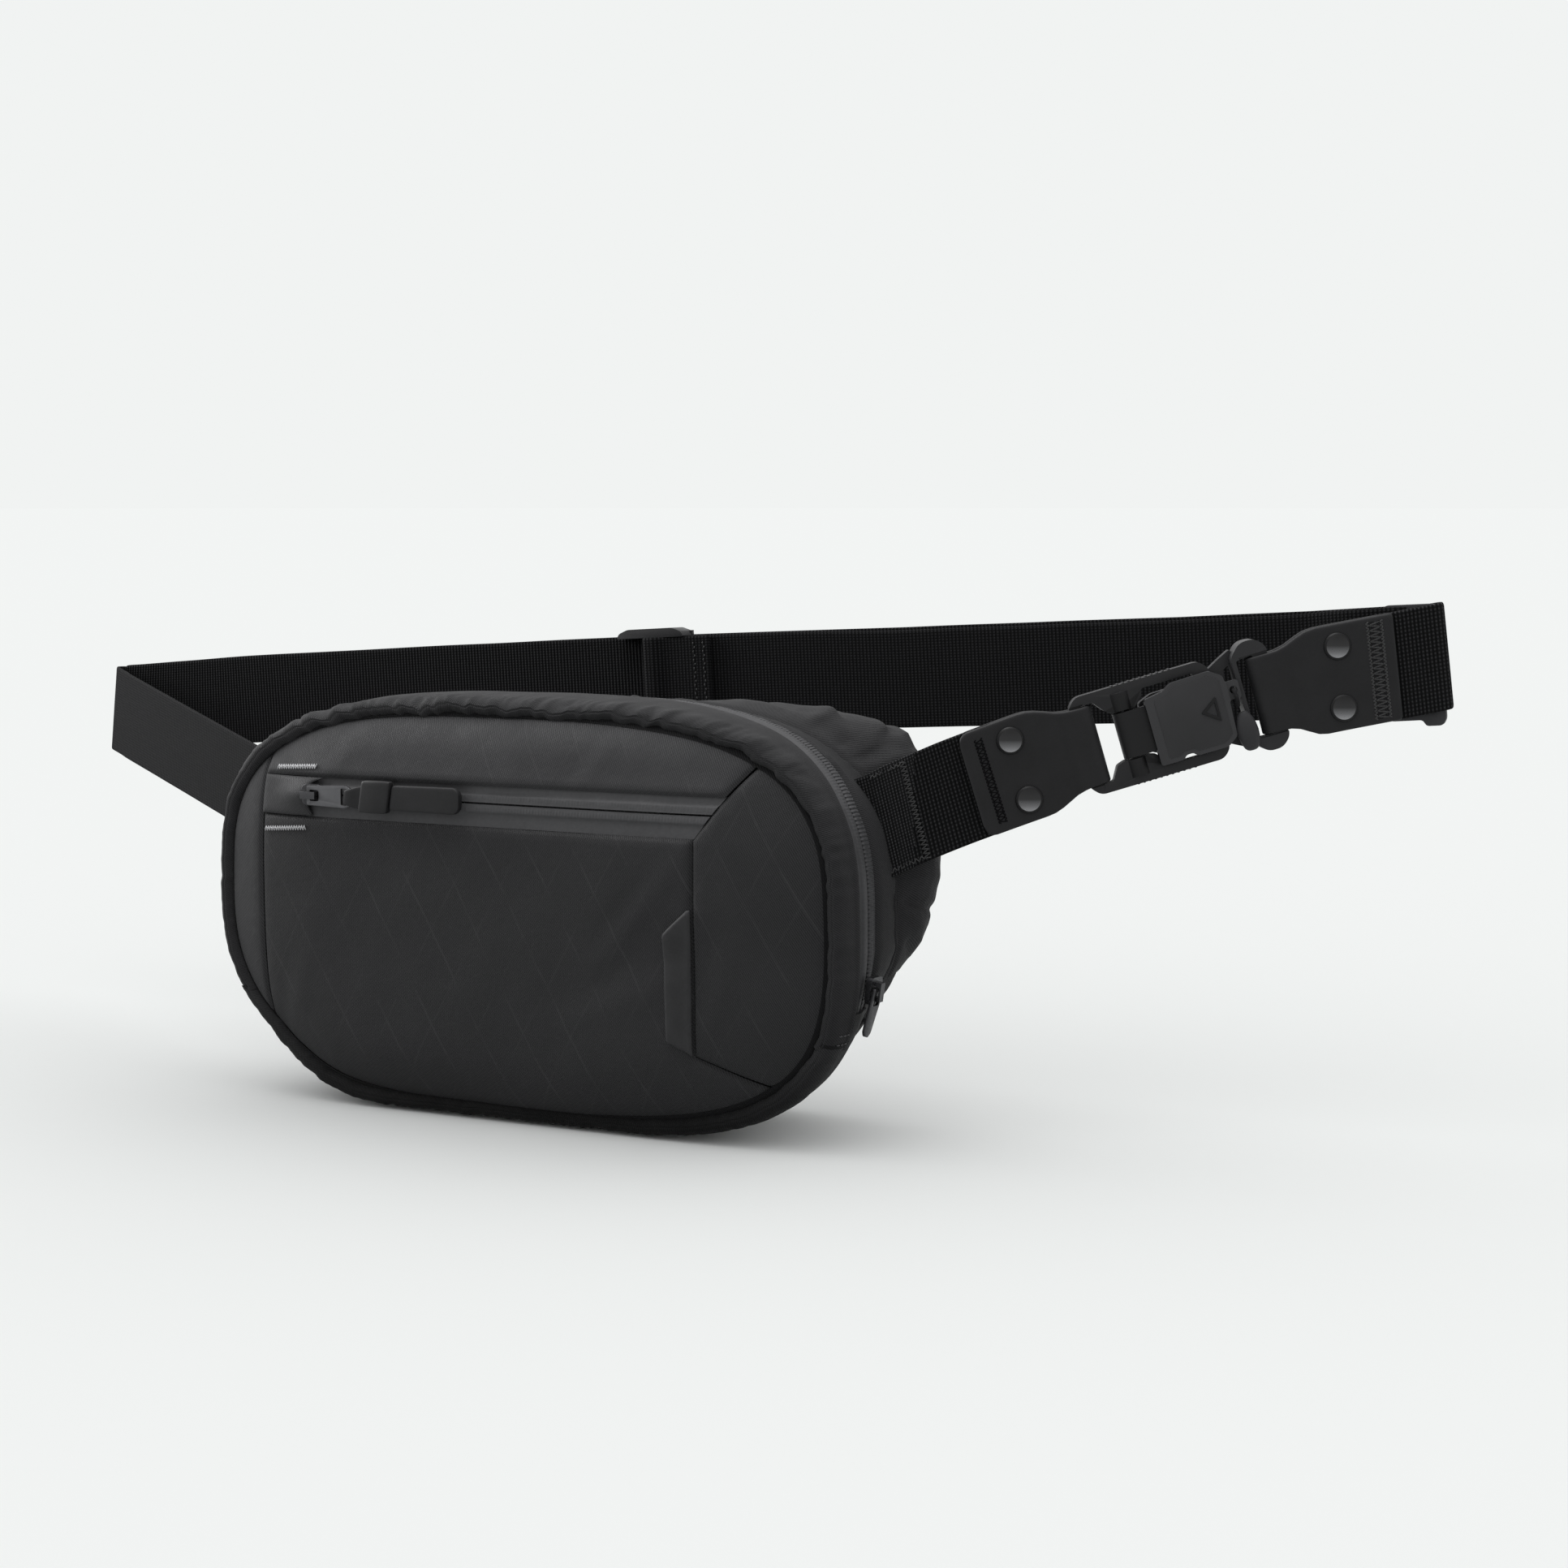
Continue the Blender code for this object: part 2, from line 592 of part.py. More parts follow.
# ------------------------------------------------------------------ belt, front run
RUN_ANGLE = math.radians(33.0)    # front run, angled back from +X in plan
SEAM_X, SEAM_Y = 136.1, 1.3       # where the belt leaves the bag
UP = Vector((0, 0, 1))
RUN_ALONG = Vector((math.cos(RUN_ANGLE), math.sin(RUN_ANGLE), 0))
RUN_OUT = Vector((math.sin(RUN_ANGLE), -math.cos(RUN_ANGLE), 0))    # away from the wearer
RUN_START = Vector((SEAM_X, SEAM_Y, 0))

# centre line of the front run: distance along, height, slope
RUN_HEIGHT = [(-8.0, 34.6, .42), (28.0, 49.4, .365), (73.6, 64.9, .292),
              (128.6, 81.0, .292), (178.6, 91.7, .195), (200.0, 95.8, .19)]
# its lean towards the bag: distance along, degrees
RUN_LEAN = [(-6.0, 10.0), (28.0, 17.0), (45.0, 18.3), (73.0, 16.3),
            (128.6, 15.0), (158.0, 7.0), (200.0, 6.6)]


def run_z(along):
    """Height of the front run's centre line, a cubic between the stations."""
    along = min(max(along, RUN_HEIGHT[0][0]), RUN_HEIGHT[-1][0])
    for (start, z0, slope0), (end, z1, slope1) in zip(RUN_HEIGHT, RUN_HEIGHT[1:]):
        if along <= end:
            span = end - start
            t = (along - start) / span
            return ((2 * t ** 3 - 3 * t ** 2 + 1) * z0 + (t ** 3 - 2 * t ** 2 + t) * span * slope0
                    + (-2 * t ** 3 + 3 * t ** 2) * z1 + (t ** 3 - t ** 2) * span * slope1)


def leaning(direction, degrees):
    """An upward unit vector leaning back against a level direction."""
    lean = math.radians(degrees)
    return direction * (-math.sin(lean)) + UP * math.cos(lean)


def run_across(along):
    return leaning(RUN_ALONG, interpolate(RUN_LEAN, along)[0])


def run_point(along, out):
    return RUN_START + RUN_ALONG * along + RUN_OUT * out + UP * run_z(along)


def run_frame(along):
    across = run_across(along)
    return Frame(run_point(along, 0), across.cross(RUN_OUT), across, RUN_OUT)


def ribbon(name, stations, thickness, finish):
    """A flat band along a path: each station is (centre, across, width)."""
    centres = [Vector(station[0]) for station in stations]
    rings = []
    for i, (centre, across, width) in enumerate(stations):
        before = (centres[i] - centres[i - 1] if i else centres[1] - centres[0]).normalized()
        after = (centres[i + 1] - centre).normalized() if i < len(centres) - 1 else before
        across = Vector(across).normalized()
        normal = before.cross(across).normalized()
        mitre = (normal + after.cross(across).normalized()).normalized()
        depth = mitre * (thickness * 0.5 / max(mitre.dot(normal), 0.5))
        half = across * (width / 2)
        rings.append([centre + half + depth, centre - half + depth,
                      centre - half - depth, centre + half - depth])
    sweep(name, rings, finish)


def webbing(name, path):
    """Belt webbing along a path of (centre, across)."""
    ribbon(name, [(centre, across, WEB_WIDTH) for centre, across in path],
           WEB_THICKNESS, WEBBING)


def run_webbing_station(along, out=0):
    return run_point(along, out), run_across(along)


# The first station lies along the bag's seam.
webbing("stub_webbing",
        [(RUN_START + RUN_ALONG * (-1.6) + UP * 37.0, RUN_ALONG * (-8.8) + UP * 37.0)]
        + [run_webbing_station(along) for along in (6.0, 14.0, 22.0, 30.0, 38.0)])

# ------------------------------------------------------------------ riveted tabs
TAB_THICKNESS = 1.8       # rubberised sheet
TAB_LEAF = 2.0            # leaf centre from the belt plane
TAB_BAR = 2.6             # leaf centre where it passes a slot bar
RIVET_ACROSS = 11.0       # rivets above and below the centre line
RIVET_HOLE = 1.8
RIVET_HEAD = 4.9

# side, open end, folded end, rivets' distance along, widths (distance along, width)
TABS = [
    ("left", 28.0, 73.8, 44.8, [(28, 37.6), (50, 38.0), (57, 34.5), (63, 29.5),
                                (70, 28.0), (80, 28.0)]),
    ("right", 178.8, 128.0, 158.5, [(120, 27.6), (138, 28.0), (144, 33.0),
                                    (149.5, 38.0), (180, 38.0)]),
]


def tab(side, open_end, fold_end, rivet_along, widths):
    """A rubberised sheet folded round a slot bar and riveted back on itself."""
    name = "tab_" + side
    way = 1 if fold_end > open_end else -1
    turn = fold_end - way * (TAB_BAR + TAB_THICKNESS / 2)
    leaf = [(along, TAB_LEAF) for along in (open_end, open_end + way * 9, open_end + way * 18,
                                            open_end + way * 24, turn - way * 9.5)]
    leaf += [(turn - way * 5.0, TAB_BAR), (turn, TAB_BAR)]
    fold = [(turn + way * TAB_BAR * math.sin(t), TAB_BAR * math.cos(t))
            for t in (0.52, 1.05, 1.57, 2.09, 2.62)]
    path = leaf + fold + [(along, -out) for along, out in reversed(leaf)]
    ribbon(name, [(*run_webbing_station(along, out), interpolate(widths, along)[0])
                  for along, out in path], TAB_THICKNESS, RUBBER)
    frame = run_frame(rivet_along)
    for i, across in enumerate((RIVET_ACROSS, -RIVET_ACROSS)):
        hole = rod(f"{name}_hole{i}", frame, (0, across, 0), RIVET_HOLE, -8, 8, RUBBER,
                   segments=10, axis="out")
        boolean(bpy.data.objects[name], hole)


def rivet(name, along, across):
    """Shank with a flat washer behind and a domed head in front."""
    face = TAB_LEAF + TAB_THICKNESS / 2 + 0.25
    profile = [(0, -face - 1.2), (4.4, -face - 1.2), (4.4, -face), (1.5, -face), (1.5, face),
               (RIVET_HEAD, face), (RIVET_HEAD, face + .5), (4.0, face + 1.25),
               (2.1, face + 1.65), (0, face + 1.75)]
    lathe(name, run_frame(along), (0, across, 0), profile, METAL)


for tab_row in TABS:
    tab(*tab_row)
    rivet(f"rivet_{tab_row[0]}_upper", tab_row[3], RIVET_ACROSS)
    rivet(f"rivet_{tab_row[0]}_lower", tab_row[3], -RIVET_ACROSS)

# ------------------------------------------------------------------ buckle
BUCKLE_ALONG, BUCKLE_Z = 91.0, 70.1
BUCKLE_RISE = math.radians(16.3)
# Along climbs to the right, out is away from the wearer.
BUCKLE = Frame(RUN_START + RUN_ALONG * BUCKLE_ALONG + UP * BUCKLE_Z,
               RUN_ALONG * math.cos(BUCKLE_RISE) + UP * math.sin(BUCKLE_RISE),
               RUN_ALONG * (-math.sin(BUCKLE_RISE)) + UP * math.cos(BUCKLE_RISE), RUN_OUT)
PIN_ALONG = -7.5
PIN_CENTRE = (PIN_ALONG, 0, 0)
PIN_RADIUS, PIN_BORE = 1.0, 1.3
KNUCKLE_RADIUS, BARREL_RADIUS = 3.9, 3.95
BARREL_HALF = 8.2
MAGNET_CENTRE = (8.5, 0, 0)
MAGNET_RADIUS = 6.0
LUG_ALONG, LUG_ACROSS, LUG_HALF = 31.6, 5.0, 3.3    # the lever's cord lug
CORD_LOOP, CORD_RADIUS = 3.0, .7
CORD_OUT = 4.4


def buckle_base():
    """Slotted frame with two knuckles for the lever pin."""
    base = plate("buckle_base", BUCKLE,
                 [(-26.3, -14.2), (-23.0, -17.9), (22.5, -17.9), (25.6, -14.8),
                  (25.6, 14.8), (22.5, 17.9), (-23.0, 17.9), (-26.3, 14.2)],
                 -2.3, 2.3, PLASTIC,
                 holes=[[(-21.4, -14.4), (-11.7, -14.4), (-11.7, -8.6), (-3.3, -8.6),
                         (-3.3, -14.4), (19.5, -14.4), (19.5, 14.4), (-3.3, 14.4),
                         (-3.3, 8.6), (-11.7, 8.6), (-11.7, 14.4), (-21.4, 14.4)]])
    relief = rectangle(-30, -20.9, -14.8, 14.8)
    boolean_plates(base, BUCKLE, "DIFFERENCE", [("base_bar_relief_f", relief, 1.3, 6),
                                                ("base_bar_relief_b", relief, -6, -1.3)])
    for side, start, end in ((-1, -15.3, -8.9), (1, 8.9, 15.3)):
        knuckle = rod(f"base_knuckle{side}", BUCKLE, PIN_CENTRE, KNUCKLE_RADIUS, start, end,
                      PLASTIC, segments=16)
        boolean(base, knuckle, "UNION")
    boolean(base, rod("base_pin_hole", BUCKLE, PIN_CENTRE, PIN_BORE, -16.4, 16.4, PLASTIC))
    rod("lever_pin", BUCKLE, PIN_CENTRE, PIN_RADIUS, -16.0, 16.0, METAL)


def buckle_lever():
    """Outer plate hinged on the pin, with a thinned, bored lug at its free end."""
    lug_low, lug_high = LUG_ACROSS - LUG_HALF, LUG_ACROSS + LUG_HALF
    lever = plate("buckle_lever", BUCKLE,
                  [(0.4, -13.8), (9.6, -13.8), (10.6, -12.6), (13.0, -12.6), (14.0, -13.8),
                   (25.4, -13.8), (29.2, -10.2), (29.2, lug_low), (33.9, lug_low),
                   (33.9, lug_high), (29.2, lug_high), (29.2, 11.0), (26.0, 13.8), (0.4, 13.8)],
                  2.8, 6.0, PLASTIC)
    relief = rectangle(29.6, 35, -2, 12)
    boolean_plates(lever, BUCKLE, "DIFFERENCE", [("lug_thin_top", relief, 5.1, 7),
                                                 ("lug_thin_low", relief, 2, 3.7)])
    boolean(lever, rod("lug_hole", BUCKLE, (LUG_ALONG, LUG_ACROSS, 0), 1.4, 2.0, 7.0, PLASTIC,
                       axis="out"))
    neck = rectangle(PIN_ALONG, 1.4, -BARREL_HALF, BARREL_HALF)
    boolean_plates(lever, BUCKLE, "UNION", [("lever_neck", neck, 1.4, BARREL_RADIUS)])
    boolean(lever, rod("lever_barrel", BUCKLE, PIN_CENTRE, BARREL_RADIUS, -BARREL_HALF,
                       BARREL_HALF, PLASTIC, segments=16), "UNION")
    boolean(lever, rod("lever_bore", BUCKLE, PIN_CENTRE, PIN_BORE, -9.0, 9.0, PLASTIC))


def buckle_hook():
    """Inner plate that widens into a slotted yoke at its right end."""
    hook = plate("buckle_hook", BUCKLE,
                 [(-1.0, -9.0), (4.0, -11.0), (26.0, -11.0), (35.5, -16.5),
                  (35.5, 16.5), (26.0, 11.0), (4.0, 11.0), (-1.0, 9.0)],
                 -6.4, -2.9, PLASTIC)
    yoke = plate("hook_yoke", BUCKLE,
                 [(34.0, -15.6), (38.4, -20.0), (43.8, -20.0), (47.3, -16.6),
                  (47.3, 16.6), (43.8, 20.0), (38.4, 20.0), (34.0, 15.6)],
                 -6.4, 2.3, PLASTIC, holes=[rectangle(36.2, 41.8, -14.5, 14.5)])
    boolean(hook, yoke, "UNION")
    relief = rectangle(36.9, 52, -14.9, 14.9)
    boolean_plates(hook, BUCKLE, "DIFFERENCE", [("hook_bar_relief_f", relief, 1.3, 6),
                                                ("hook_bar_relief_b", relief, -9, -1.3)])


def magnets():
    for name, low, high in (("magnet_lever", 0.35, 2.45), ("magnet_hook", -2.55, -0.3)):
        rod(name, BUCKLE, MAGNET_CENTRE, MAGNET_RADIUS, low, high, MAGNET,
            segments=18, axis="out")


def lever_cord():
    """Closed cord loop through the lever's lug."""
    rings = []
    for i in range(14):
        turn = 2 * math.pi * i / 14
        cos, sin = math.cos(turn), math.sin(turn)
        ring = []
        for j in range(7):
            around = 2 * math.pi * j / 7
            reach = CORD_LOOP + CORD_RADIUS * math.cos(around)
            ring.append(BUCKLE.at(LUG_ALONG + CORD_RADIUS * math.sin(around),
                                  LUG_ACROSS - CORD_LOOP + reach * cos, CORD_OUT + reach * sin))
        rings.append(ring)
    sweep("lever_cord", rings, WEBBING, closed=True)


def lever_knob():
    """Long oval knob hanging below the cord."""
    along, out = 33.0, 5.6
    # across, radius along, radius out
    stations = ((-17.4, .9, .7), (-15.6, 2.9, 2.0), (-12.0, 3.8, 2.6),
                (-8.4, 3.6, 2.5), (-5.0, 2.6, 1.8), (-3.2, 1.1, .8))
    turns = [2 * math.pi * j / 12 for j in range(12)]
    sweep("lever_knob", [[BUCKLE.at(along + wide * math.cos(turn), across,
                                    out + deep * math.sin(turn)) for turn in turns]
                         for across, wide, deep in stations], PLASTIC)


buckle_base()
buckle_lever()
buckle_hook()
magnets()
lever_cord()
lever_knob()

# ------------------------------------------------------------------ belt end ring
RING_ALONG, RING_OUT = 186.5, -5.95
RING_TILT = math.radians(24.0)
RING_BAR = 8.8            # from the ring's centre to its bars
RING_BAR_ALONG, RING_BAR_OUT = RING_BAR * math.cos(RING_TILT), RING_BAR * math.sin(RING_TILT)
# bar centres: distance along the front run, distance out
RIGHT_BAR = (RING_ALONG + RING_BAR_ALONG, RING_OUT + RING_BAR_OUT)
LEFT_BAR = (RING_ALONG - RING_BAR_ALONG, RING_OUT - RING_BAR_OUT)


def strap_ring():
    """Rectangular ring, tilted in plan across the belt."""
    across = leaning(RUN_ALONG, 4.5)
    along = RUN_ALONG * math.cos(RING_TILT) + RUN_OUT * math.sin(RING_TILT)
    along = (along - across * along.dot(across)).normalized()
    frame = Frame(run_point(RING_ALONG, RING_OUT) + UP * 0.7, along, across,
                  along.cross(across))
    plate("strap_ring", frame,
          [(-10.4, -21.6), (-8.6, -23.6), (8.6, -23.6), (10.4, -21.6),
           (10.4, 21.6), (8.6, 23.6), (-8.6, 23.6), (-10.4, 21.6)],
          -1.3, 1.3, GREY_PLASTIC, holes=[rectangle(-7.2, 7.2, -21.0, 21.0)])


def short_webbing():
    """From the right tab, round the ring's right bar and back."""
    bar_along, bar_out = RIGHT_BAR
    path = [(180.8, .75), (187.0, .8), (bar_along - 1.0, .95)]
    path += [(bar_along + 3.6 * math.sin(t), bar_out + 3.6 * math.cos(t))
             for t in (0.45, 0.95, 1.5, 2.05, 2.6, 3.14)]
    path += [(bar_along - 4.2, bar_out - 2.0), (187.2, -1.7), (180.8, -1.0)]
    webbing("short_webbing", [run_webbing_station(along, out) for along, out in path])


strap_ring()
short_webbing()

# ------------------------------------------------------------------ long webbing
FOLD_CENTRE = Vector((-328.75, 124.0, 0))    # centre of the left fold
FOLD_RADIUS = 2.5
FOLD_Z = 55.5
FOLD_ACROSS = Vector((math.sin(math.radians(6.0)), 0, math.cos(math.radians(6.0))))
LEFT_SEAM = Vector((-SEAM_X, SEAM_Y, 0))
BACK_SLOPE = 0.0632
BACK_MID_X = -21.0
GLIDE_X = -34.0           # centre of the tri-glide on the back run
OVERLAP = 1.65            # the returning layer, forward of the back run

# The back run goes from the left fold to its right end at the ring.
BACK_END = RUN_START + RUN_ALONG * (LEFT_BAR[0] + 1.9) + RUN_OUT * (LEFT_BAR[1] - 2.9)
BACK_ALONG = Vector((BACK_END.x - FOLD_CENTRE.x,
                     BACK_END.y - (FOLD_CENTRE.y + FOLD_RADIUS), 0)).normalized()
BACK_FRONT = Vector((BACK_ALONG.y, -BACK_ALONG.x, 0))    # towards the bag


def back_z(x):
    """Centre height of the back run: climbs to the right, slightly arched."""
    offset = x - BACK_MID_X
    return 77.6 + offset * BACK_SLOPE - (offset / 311.0) ** 2 * 2.3


def back_across(x):
    """Width direction of the back run, blended from the fold's near the left end."""
    share = min(max((x - FOLD_CENTRE.x) / 70.0, 0.0), 1.0)
    return FOLD_ACROSS.lerp(leaning(BACK_ALONG, 3.7), share)


def back_station(point):
    return point + UP * back_z(point.x), back_across(point.x)


def heading_of(direction):
    return math.atan2(direction.y, direction.x)


def fold_point(heading):
    """Point of the left fold where the belt runs in a given heading."""
    return FOLD_CENTRE - Vector((math.sin(heading), -math.cos(heading), 0)) * FOLD_RADIUS


BACK_START = fold_point(heading_of(BACK_ALONG))


def left_run():
    """From the bag's left seam to the left fold and round it."""
    fold_start = fold_point(heading_of(FOLD_CENTRE - LEFT_SEAM))
    length = (fold_start - LEFT_SEAM).length
    along = (fold_start - LEFT_SEAM).normalized()
    path = [(LEFT_SEAM + along * 0.6 + UP * 28.6, along * (-4.5) + UP * 38.0)]
    for distance in (10, 24, 60, 110, 160, 200, length):
        share = distance / length
        path.append((LEFT_SEAM + along * distance + UP * (28.0 + 27.4 * share),
                     leaning(along, 6.5).lerp(FOLD_ACROSS, share)))
    first, last = heading_of(along), heading_of(BACK_ALONG)
    for i in range(1, 6):
        heading = first + (last - first) * i / 6.0
        path.append((fold_point(heading) + UP * FOLD_Z, FOLD_ACROSS))
    return path


def back_run():
    """Behind the wearer's side, round the ring's left bar and back to the tri-glide."""
    length = (BACK_END - BACK_START).length
    path = [back_station(BACK_START + BACK_ALONG * distance) for distance in
            (0, 35, 75, 140, 205, 270, 335, 400, 465, 525, 575, length)]
    bar = RUN_START + RUN_ALONG * LEFT_BAR[0] + RUN_OUT * LEFT_BAR[1] + BACK_ALONG * 4.0
    radius = (BACK_END - bar).dot(-BACK_FRONT)
    for i in range(7):
        turn = math.pi * i / 6
        point = (bar - BACK_FRONT * (radius * math.cos(turn))
                 + BACK_ALONG * (radius * math.sin(turn)))
        path.append((point + UP * back_z(bar.x), back_across(point.x)))
    glide = (BACK_END.x - (GLIDE_X - 3.0)) / BACK_ALONG.x
    # returning layer: distance back from the right end, distance forward
    returning = [(12.0, 2 * radius), (30.0, 3.2)]
    returning += [(distance, OVERLAP) for distance in (55.0, 120, 180, 240, glide)]
    path += [back_station(BACK_END + BACK_FRONT * forward - BACK_ALONG * distance)
             for distance, forward in returning]
    return path


webbing("long_webbing", left_run() + back_run())

# ------------------------------------------------------------------ tri-glide and sewn tail
GLIDE_ALONG = (BACK_ALONG + UP * BACK_SLOPE).normalized()
GLIDE_CENTRE, GLIDE_LEAN = back_station(
    BACK_START + BACK_ALONG * ((GLIDE_X - BACK_START.x) / BACK_ALONG.x))
GLIDE_ACROSS = back_across(GLIDE_X)
GLIDE = Frame(GLIDE_CENTRE, GLIDE_ALONG,
              GLIDE_ACROSS - GLIDE_ALONG * GLIDE_ACROSS.dot(GLIDE_ALONG), BACK_FRONT)


def triglide():
    """Upper and lower rails joined by two side bars and a raised middle bar."""
    glide = plate("triglide", GLIDE,
                  [(-16.5, 20.2), (16.5, 20.2), (15.2, 22.4),
                   (12.0, 23.2), (-12.0, 23.2), (-15.2, 22.4)], -2.6, 6.0, PLASTIC)
    low_rail = [(-16.5, -20.2), (-15.2, -22.4), (-12.0, -23.2),
                (12.0, -23.2), (15.2, -22.4), (16.5, -20.2)]
    boolean_plates(glide, GLIDE, "UNION", [
        ("triglide_low_rail", low_rail, -2.6, 6.0),
        ("triglide_left_bar", rectangle(-16.2, -13.0, -21.0, 21.0), -2.4, -1.0),
        ("triglide_right_bar", rectangle(13.0, 16.2, -21.0, 21.0), -2.4, -1.0),
        ("triglide_mid_bar", rectangle(-1.8, 1.8, -21.0, 21.0), 4.3, 5.9)])


def webbing_tail():
    """Webbing wrapped round the middle bar: distance along, distance out."""
    path = [(27.0, 4.95), (12.0, 4.95), (7.0, 5.3), (2.6, 6.85), (-1.6, 6.85), (-3.0, 6.3),
            (-3.1, 4.1), (-1.6, 3.35), (2.6, 3.35), (12.0, 3.35), (27.0, 3.35)]
    webbing("webbing_tail", [(GLIDE.at(along, 0, out), GLIDE.across) for along, out in path])


triglide()
webbing_tail()
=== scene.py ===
"""Belt bag with a lever buckle, standing on a plain floor.

The front faces -y, right is +x and z is up. The belt leaves the right side seam as a stub,
passes the buckle and a ring, runs behind the bag to a fold at the far left, and comes
forward to the left seam. Lengths are in mm from the bag's centre; new_obj turns them into
metres and lifts them off the floor. phi turns about the y axis, from +x (0) to +z (90 deg).
"""
import json
import math

import bmesh
import bpy
import numpy as np
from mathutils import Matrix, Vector, noise
from mathutils.geometry import delaunay_2d_cdt

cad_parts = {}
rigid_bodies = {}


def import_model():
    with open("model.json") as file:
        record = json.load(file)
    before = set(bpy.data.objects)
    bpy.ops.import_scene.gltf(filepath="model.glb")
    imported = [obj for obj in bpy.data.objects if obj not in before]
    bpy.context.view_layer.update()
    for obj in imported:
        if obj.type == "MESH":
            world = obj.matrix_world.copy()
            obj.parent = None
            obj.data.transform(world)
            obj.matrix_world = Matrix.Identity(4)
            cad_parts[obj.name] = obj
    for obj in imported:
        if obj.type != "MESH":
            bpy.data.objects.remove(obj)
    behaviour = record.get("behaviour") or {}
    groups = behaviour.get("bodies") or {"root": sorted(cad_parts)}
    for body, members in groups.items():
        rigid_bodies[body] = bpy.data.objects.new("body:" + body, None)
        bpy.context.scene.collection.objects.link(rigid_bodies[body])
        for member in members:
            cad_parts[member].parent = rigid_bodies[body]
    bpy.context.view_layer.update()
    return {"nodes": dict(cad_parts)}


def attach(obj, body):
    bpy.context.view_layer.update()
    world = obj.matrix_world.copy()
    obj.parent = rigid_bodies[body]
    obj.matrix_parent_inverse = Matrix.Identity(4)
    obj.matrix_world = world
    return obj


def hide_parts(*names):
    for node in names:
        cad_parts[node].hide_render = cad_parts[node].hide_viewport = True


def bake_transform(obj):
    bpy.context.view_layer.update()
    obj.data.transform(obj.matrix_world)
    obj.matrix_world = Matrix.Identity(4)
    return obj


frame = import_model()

MM = 0.001
BASE_Z = 77.5                                       # bag centre above the floor
HALF_W, HALF_H = 137.5, 78.5                        # bag outline
SEAM_W, SEAM_H, SEAM_POWER = 131.4, 72.4, 3.2       # superellipse of the front seam
MOUTH_Y, ZIP_HALF = -18.0, 6.0                      # main zip line and half width of its tape
POCKET_LOW, POCKET_LINE, POCKET_TOP = 32.2, 40.6, 46.9   # z of the pocket zip band
LEFT_X = -111.6                                     # seam of the left front panel
RIGHT_END, LEFT_END = -17.0, 197.0                  # degrees where gussets meet the base
scene = bpy.context.scene
scene.view_settings.view_transform = "Standard"


# ============================================================ materials
def shade(color, factor):
    return tuple(c * factor for c in color)


class Shader:
    """One material's node tree, with short calls for the nodes used below."""

    def __init__(self, name):
        self.material = bpy.data.materials.new(name)
        self.material.use_nodes = True
        self.tree = self.material.node_tree
        self.principled = self.tree.nodes["Principled BSDF"]
        self.coords = self.node("ShaderNodeTexCoord")
        self.normal = None

    def node(self, kind, **settings):
        made = self.tree.nodes.new(kind)
        for key, value in settings.items():
            setattr(made, key, value)
        return made

    def feed(self, socket, value):
        """Link a socket, or set a number or an RGB colour."""
        if isinstance(value, bpy.types.NodeSocket):
            self.tree.links.new(value, socket)
        else:
            socket.default_value = (*value, 1.0) if isinstance(value, tuple) else value

    def set(self, **inputs):
        for key, value in inputs.items():
            self.feed(self.principled.inputs[key.replace("_", " ")], value)

    def math(self, operation, a, b=0.0):
        made = self.node("ShaderNodeMath", operation=operation)
        self.feed(made.inputs[0], a)
        self.feed(made.inputs[1], b)
        return made.outputs[0]

    def mul(self, a, b):
        return self.math("MULTIPLY", a, b)

    def add(self, a, b):
        return self.math("ADD", a, b)

    def sub(self, a, b):
        return self.math("SUBTRACT", a, b)

    def weigh(self, a, weight_a, b, weight_b):
        return self.add(self.mul(a, weight_a), self.mul(b, weight_b))

    def wave(self, coord, pitch):
        return self.math("SINE", self.mul(coord, 2 * math.pi / pitch))

    def axes(self, source="Object", coords=None):
        split = self.node("ShaderNodeSeparateXYZ")
        self.feed(split.inputs[0], (coords or self.coords).outputs[source])
        return split.outputs

    def texture(self, kind, scale, **settings):
        made = self.node(kind, **settings)
        made.inputs["Scale"].default_value = scale
        self.feed(made.inputs["Vector"], self.coords.outputs["Object"])
        return made

    def noise(self, scale, detail=3.0, rough=0.55):
        made = self.texture("ShaderNodeTexNoise", scale)
        made.inputs["Detail"].default_value = detail
        made.inputs["Roughness"].default_value = rough
        return made.outputs["Fac"]

    def ramp(self, factor, *stops, tint=(1.0, 1.0, 1.0)):
        """Colour ramp; each stop is (position, brightness of the tint)."""
        made = self.node("ShaderNodeValToRGB")
        elements = made.color_ramp.elements
        while len(elements) < len(stops):
            elements.new(0.5)
        for element, (position, brightness) in zip(elements, stops):
            element.position = position
            element.color = (*shade(tint, brightness), 1.0)
        self.feed(made.inputs[0], factor)
        return made.outputs[0]

    def mix(self, factor, a, b, **settings):
        made = self.node("ShaderNodeMix", data_type="RGBA", **settings)
        for index, value in ((0, factor), (6, a), (7, b)):
            self.feed(made.inputs[index], value)
        return made.outputs[2]

    def bump(self, height, strength, distance):
        """Stack a bump on those made before."""
        made = self.node("ShaderNodeBump")
        made.inputs["Strength"].default_value = strength
        made.inputs["Distance"].default_value = distance
        self.feed(made.inputs["Height"], height)
        if self.normal:
            self.feed(made.inputs["Normal"], self.normal)
        self.normal = made.outputs[0]
        self.set(Normal=self.normal)

    def wear_and_edge_highlight(self, color, light, amount):
        """Lighter edges from pointiness: wear, and a painted highlight along the edges."""
        geometry = self.node("ShaderNodeNewGeometry")
        edges = self.ramp(geometry.outputs["Pointiness"], (0.50, 0), (0.60, 1))
        return self.mix(self.mul(edges, amount), color, light)


TWILL = 0.72e-3     # yarn pitch of the fabrics, metres
SCRIM = 0.0205      # spacing of the diamond scrim lines, metres


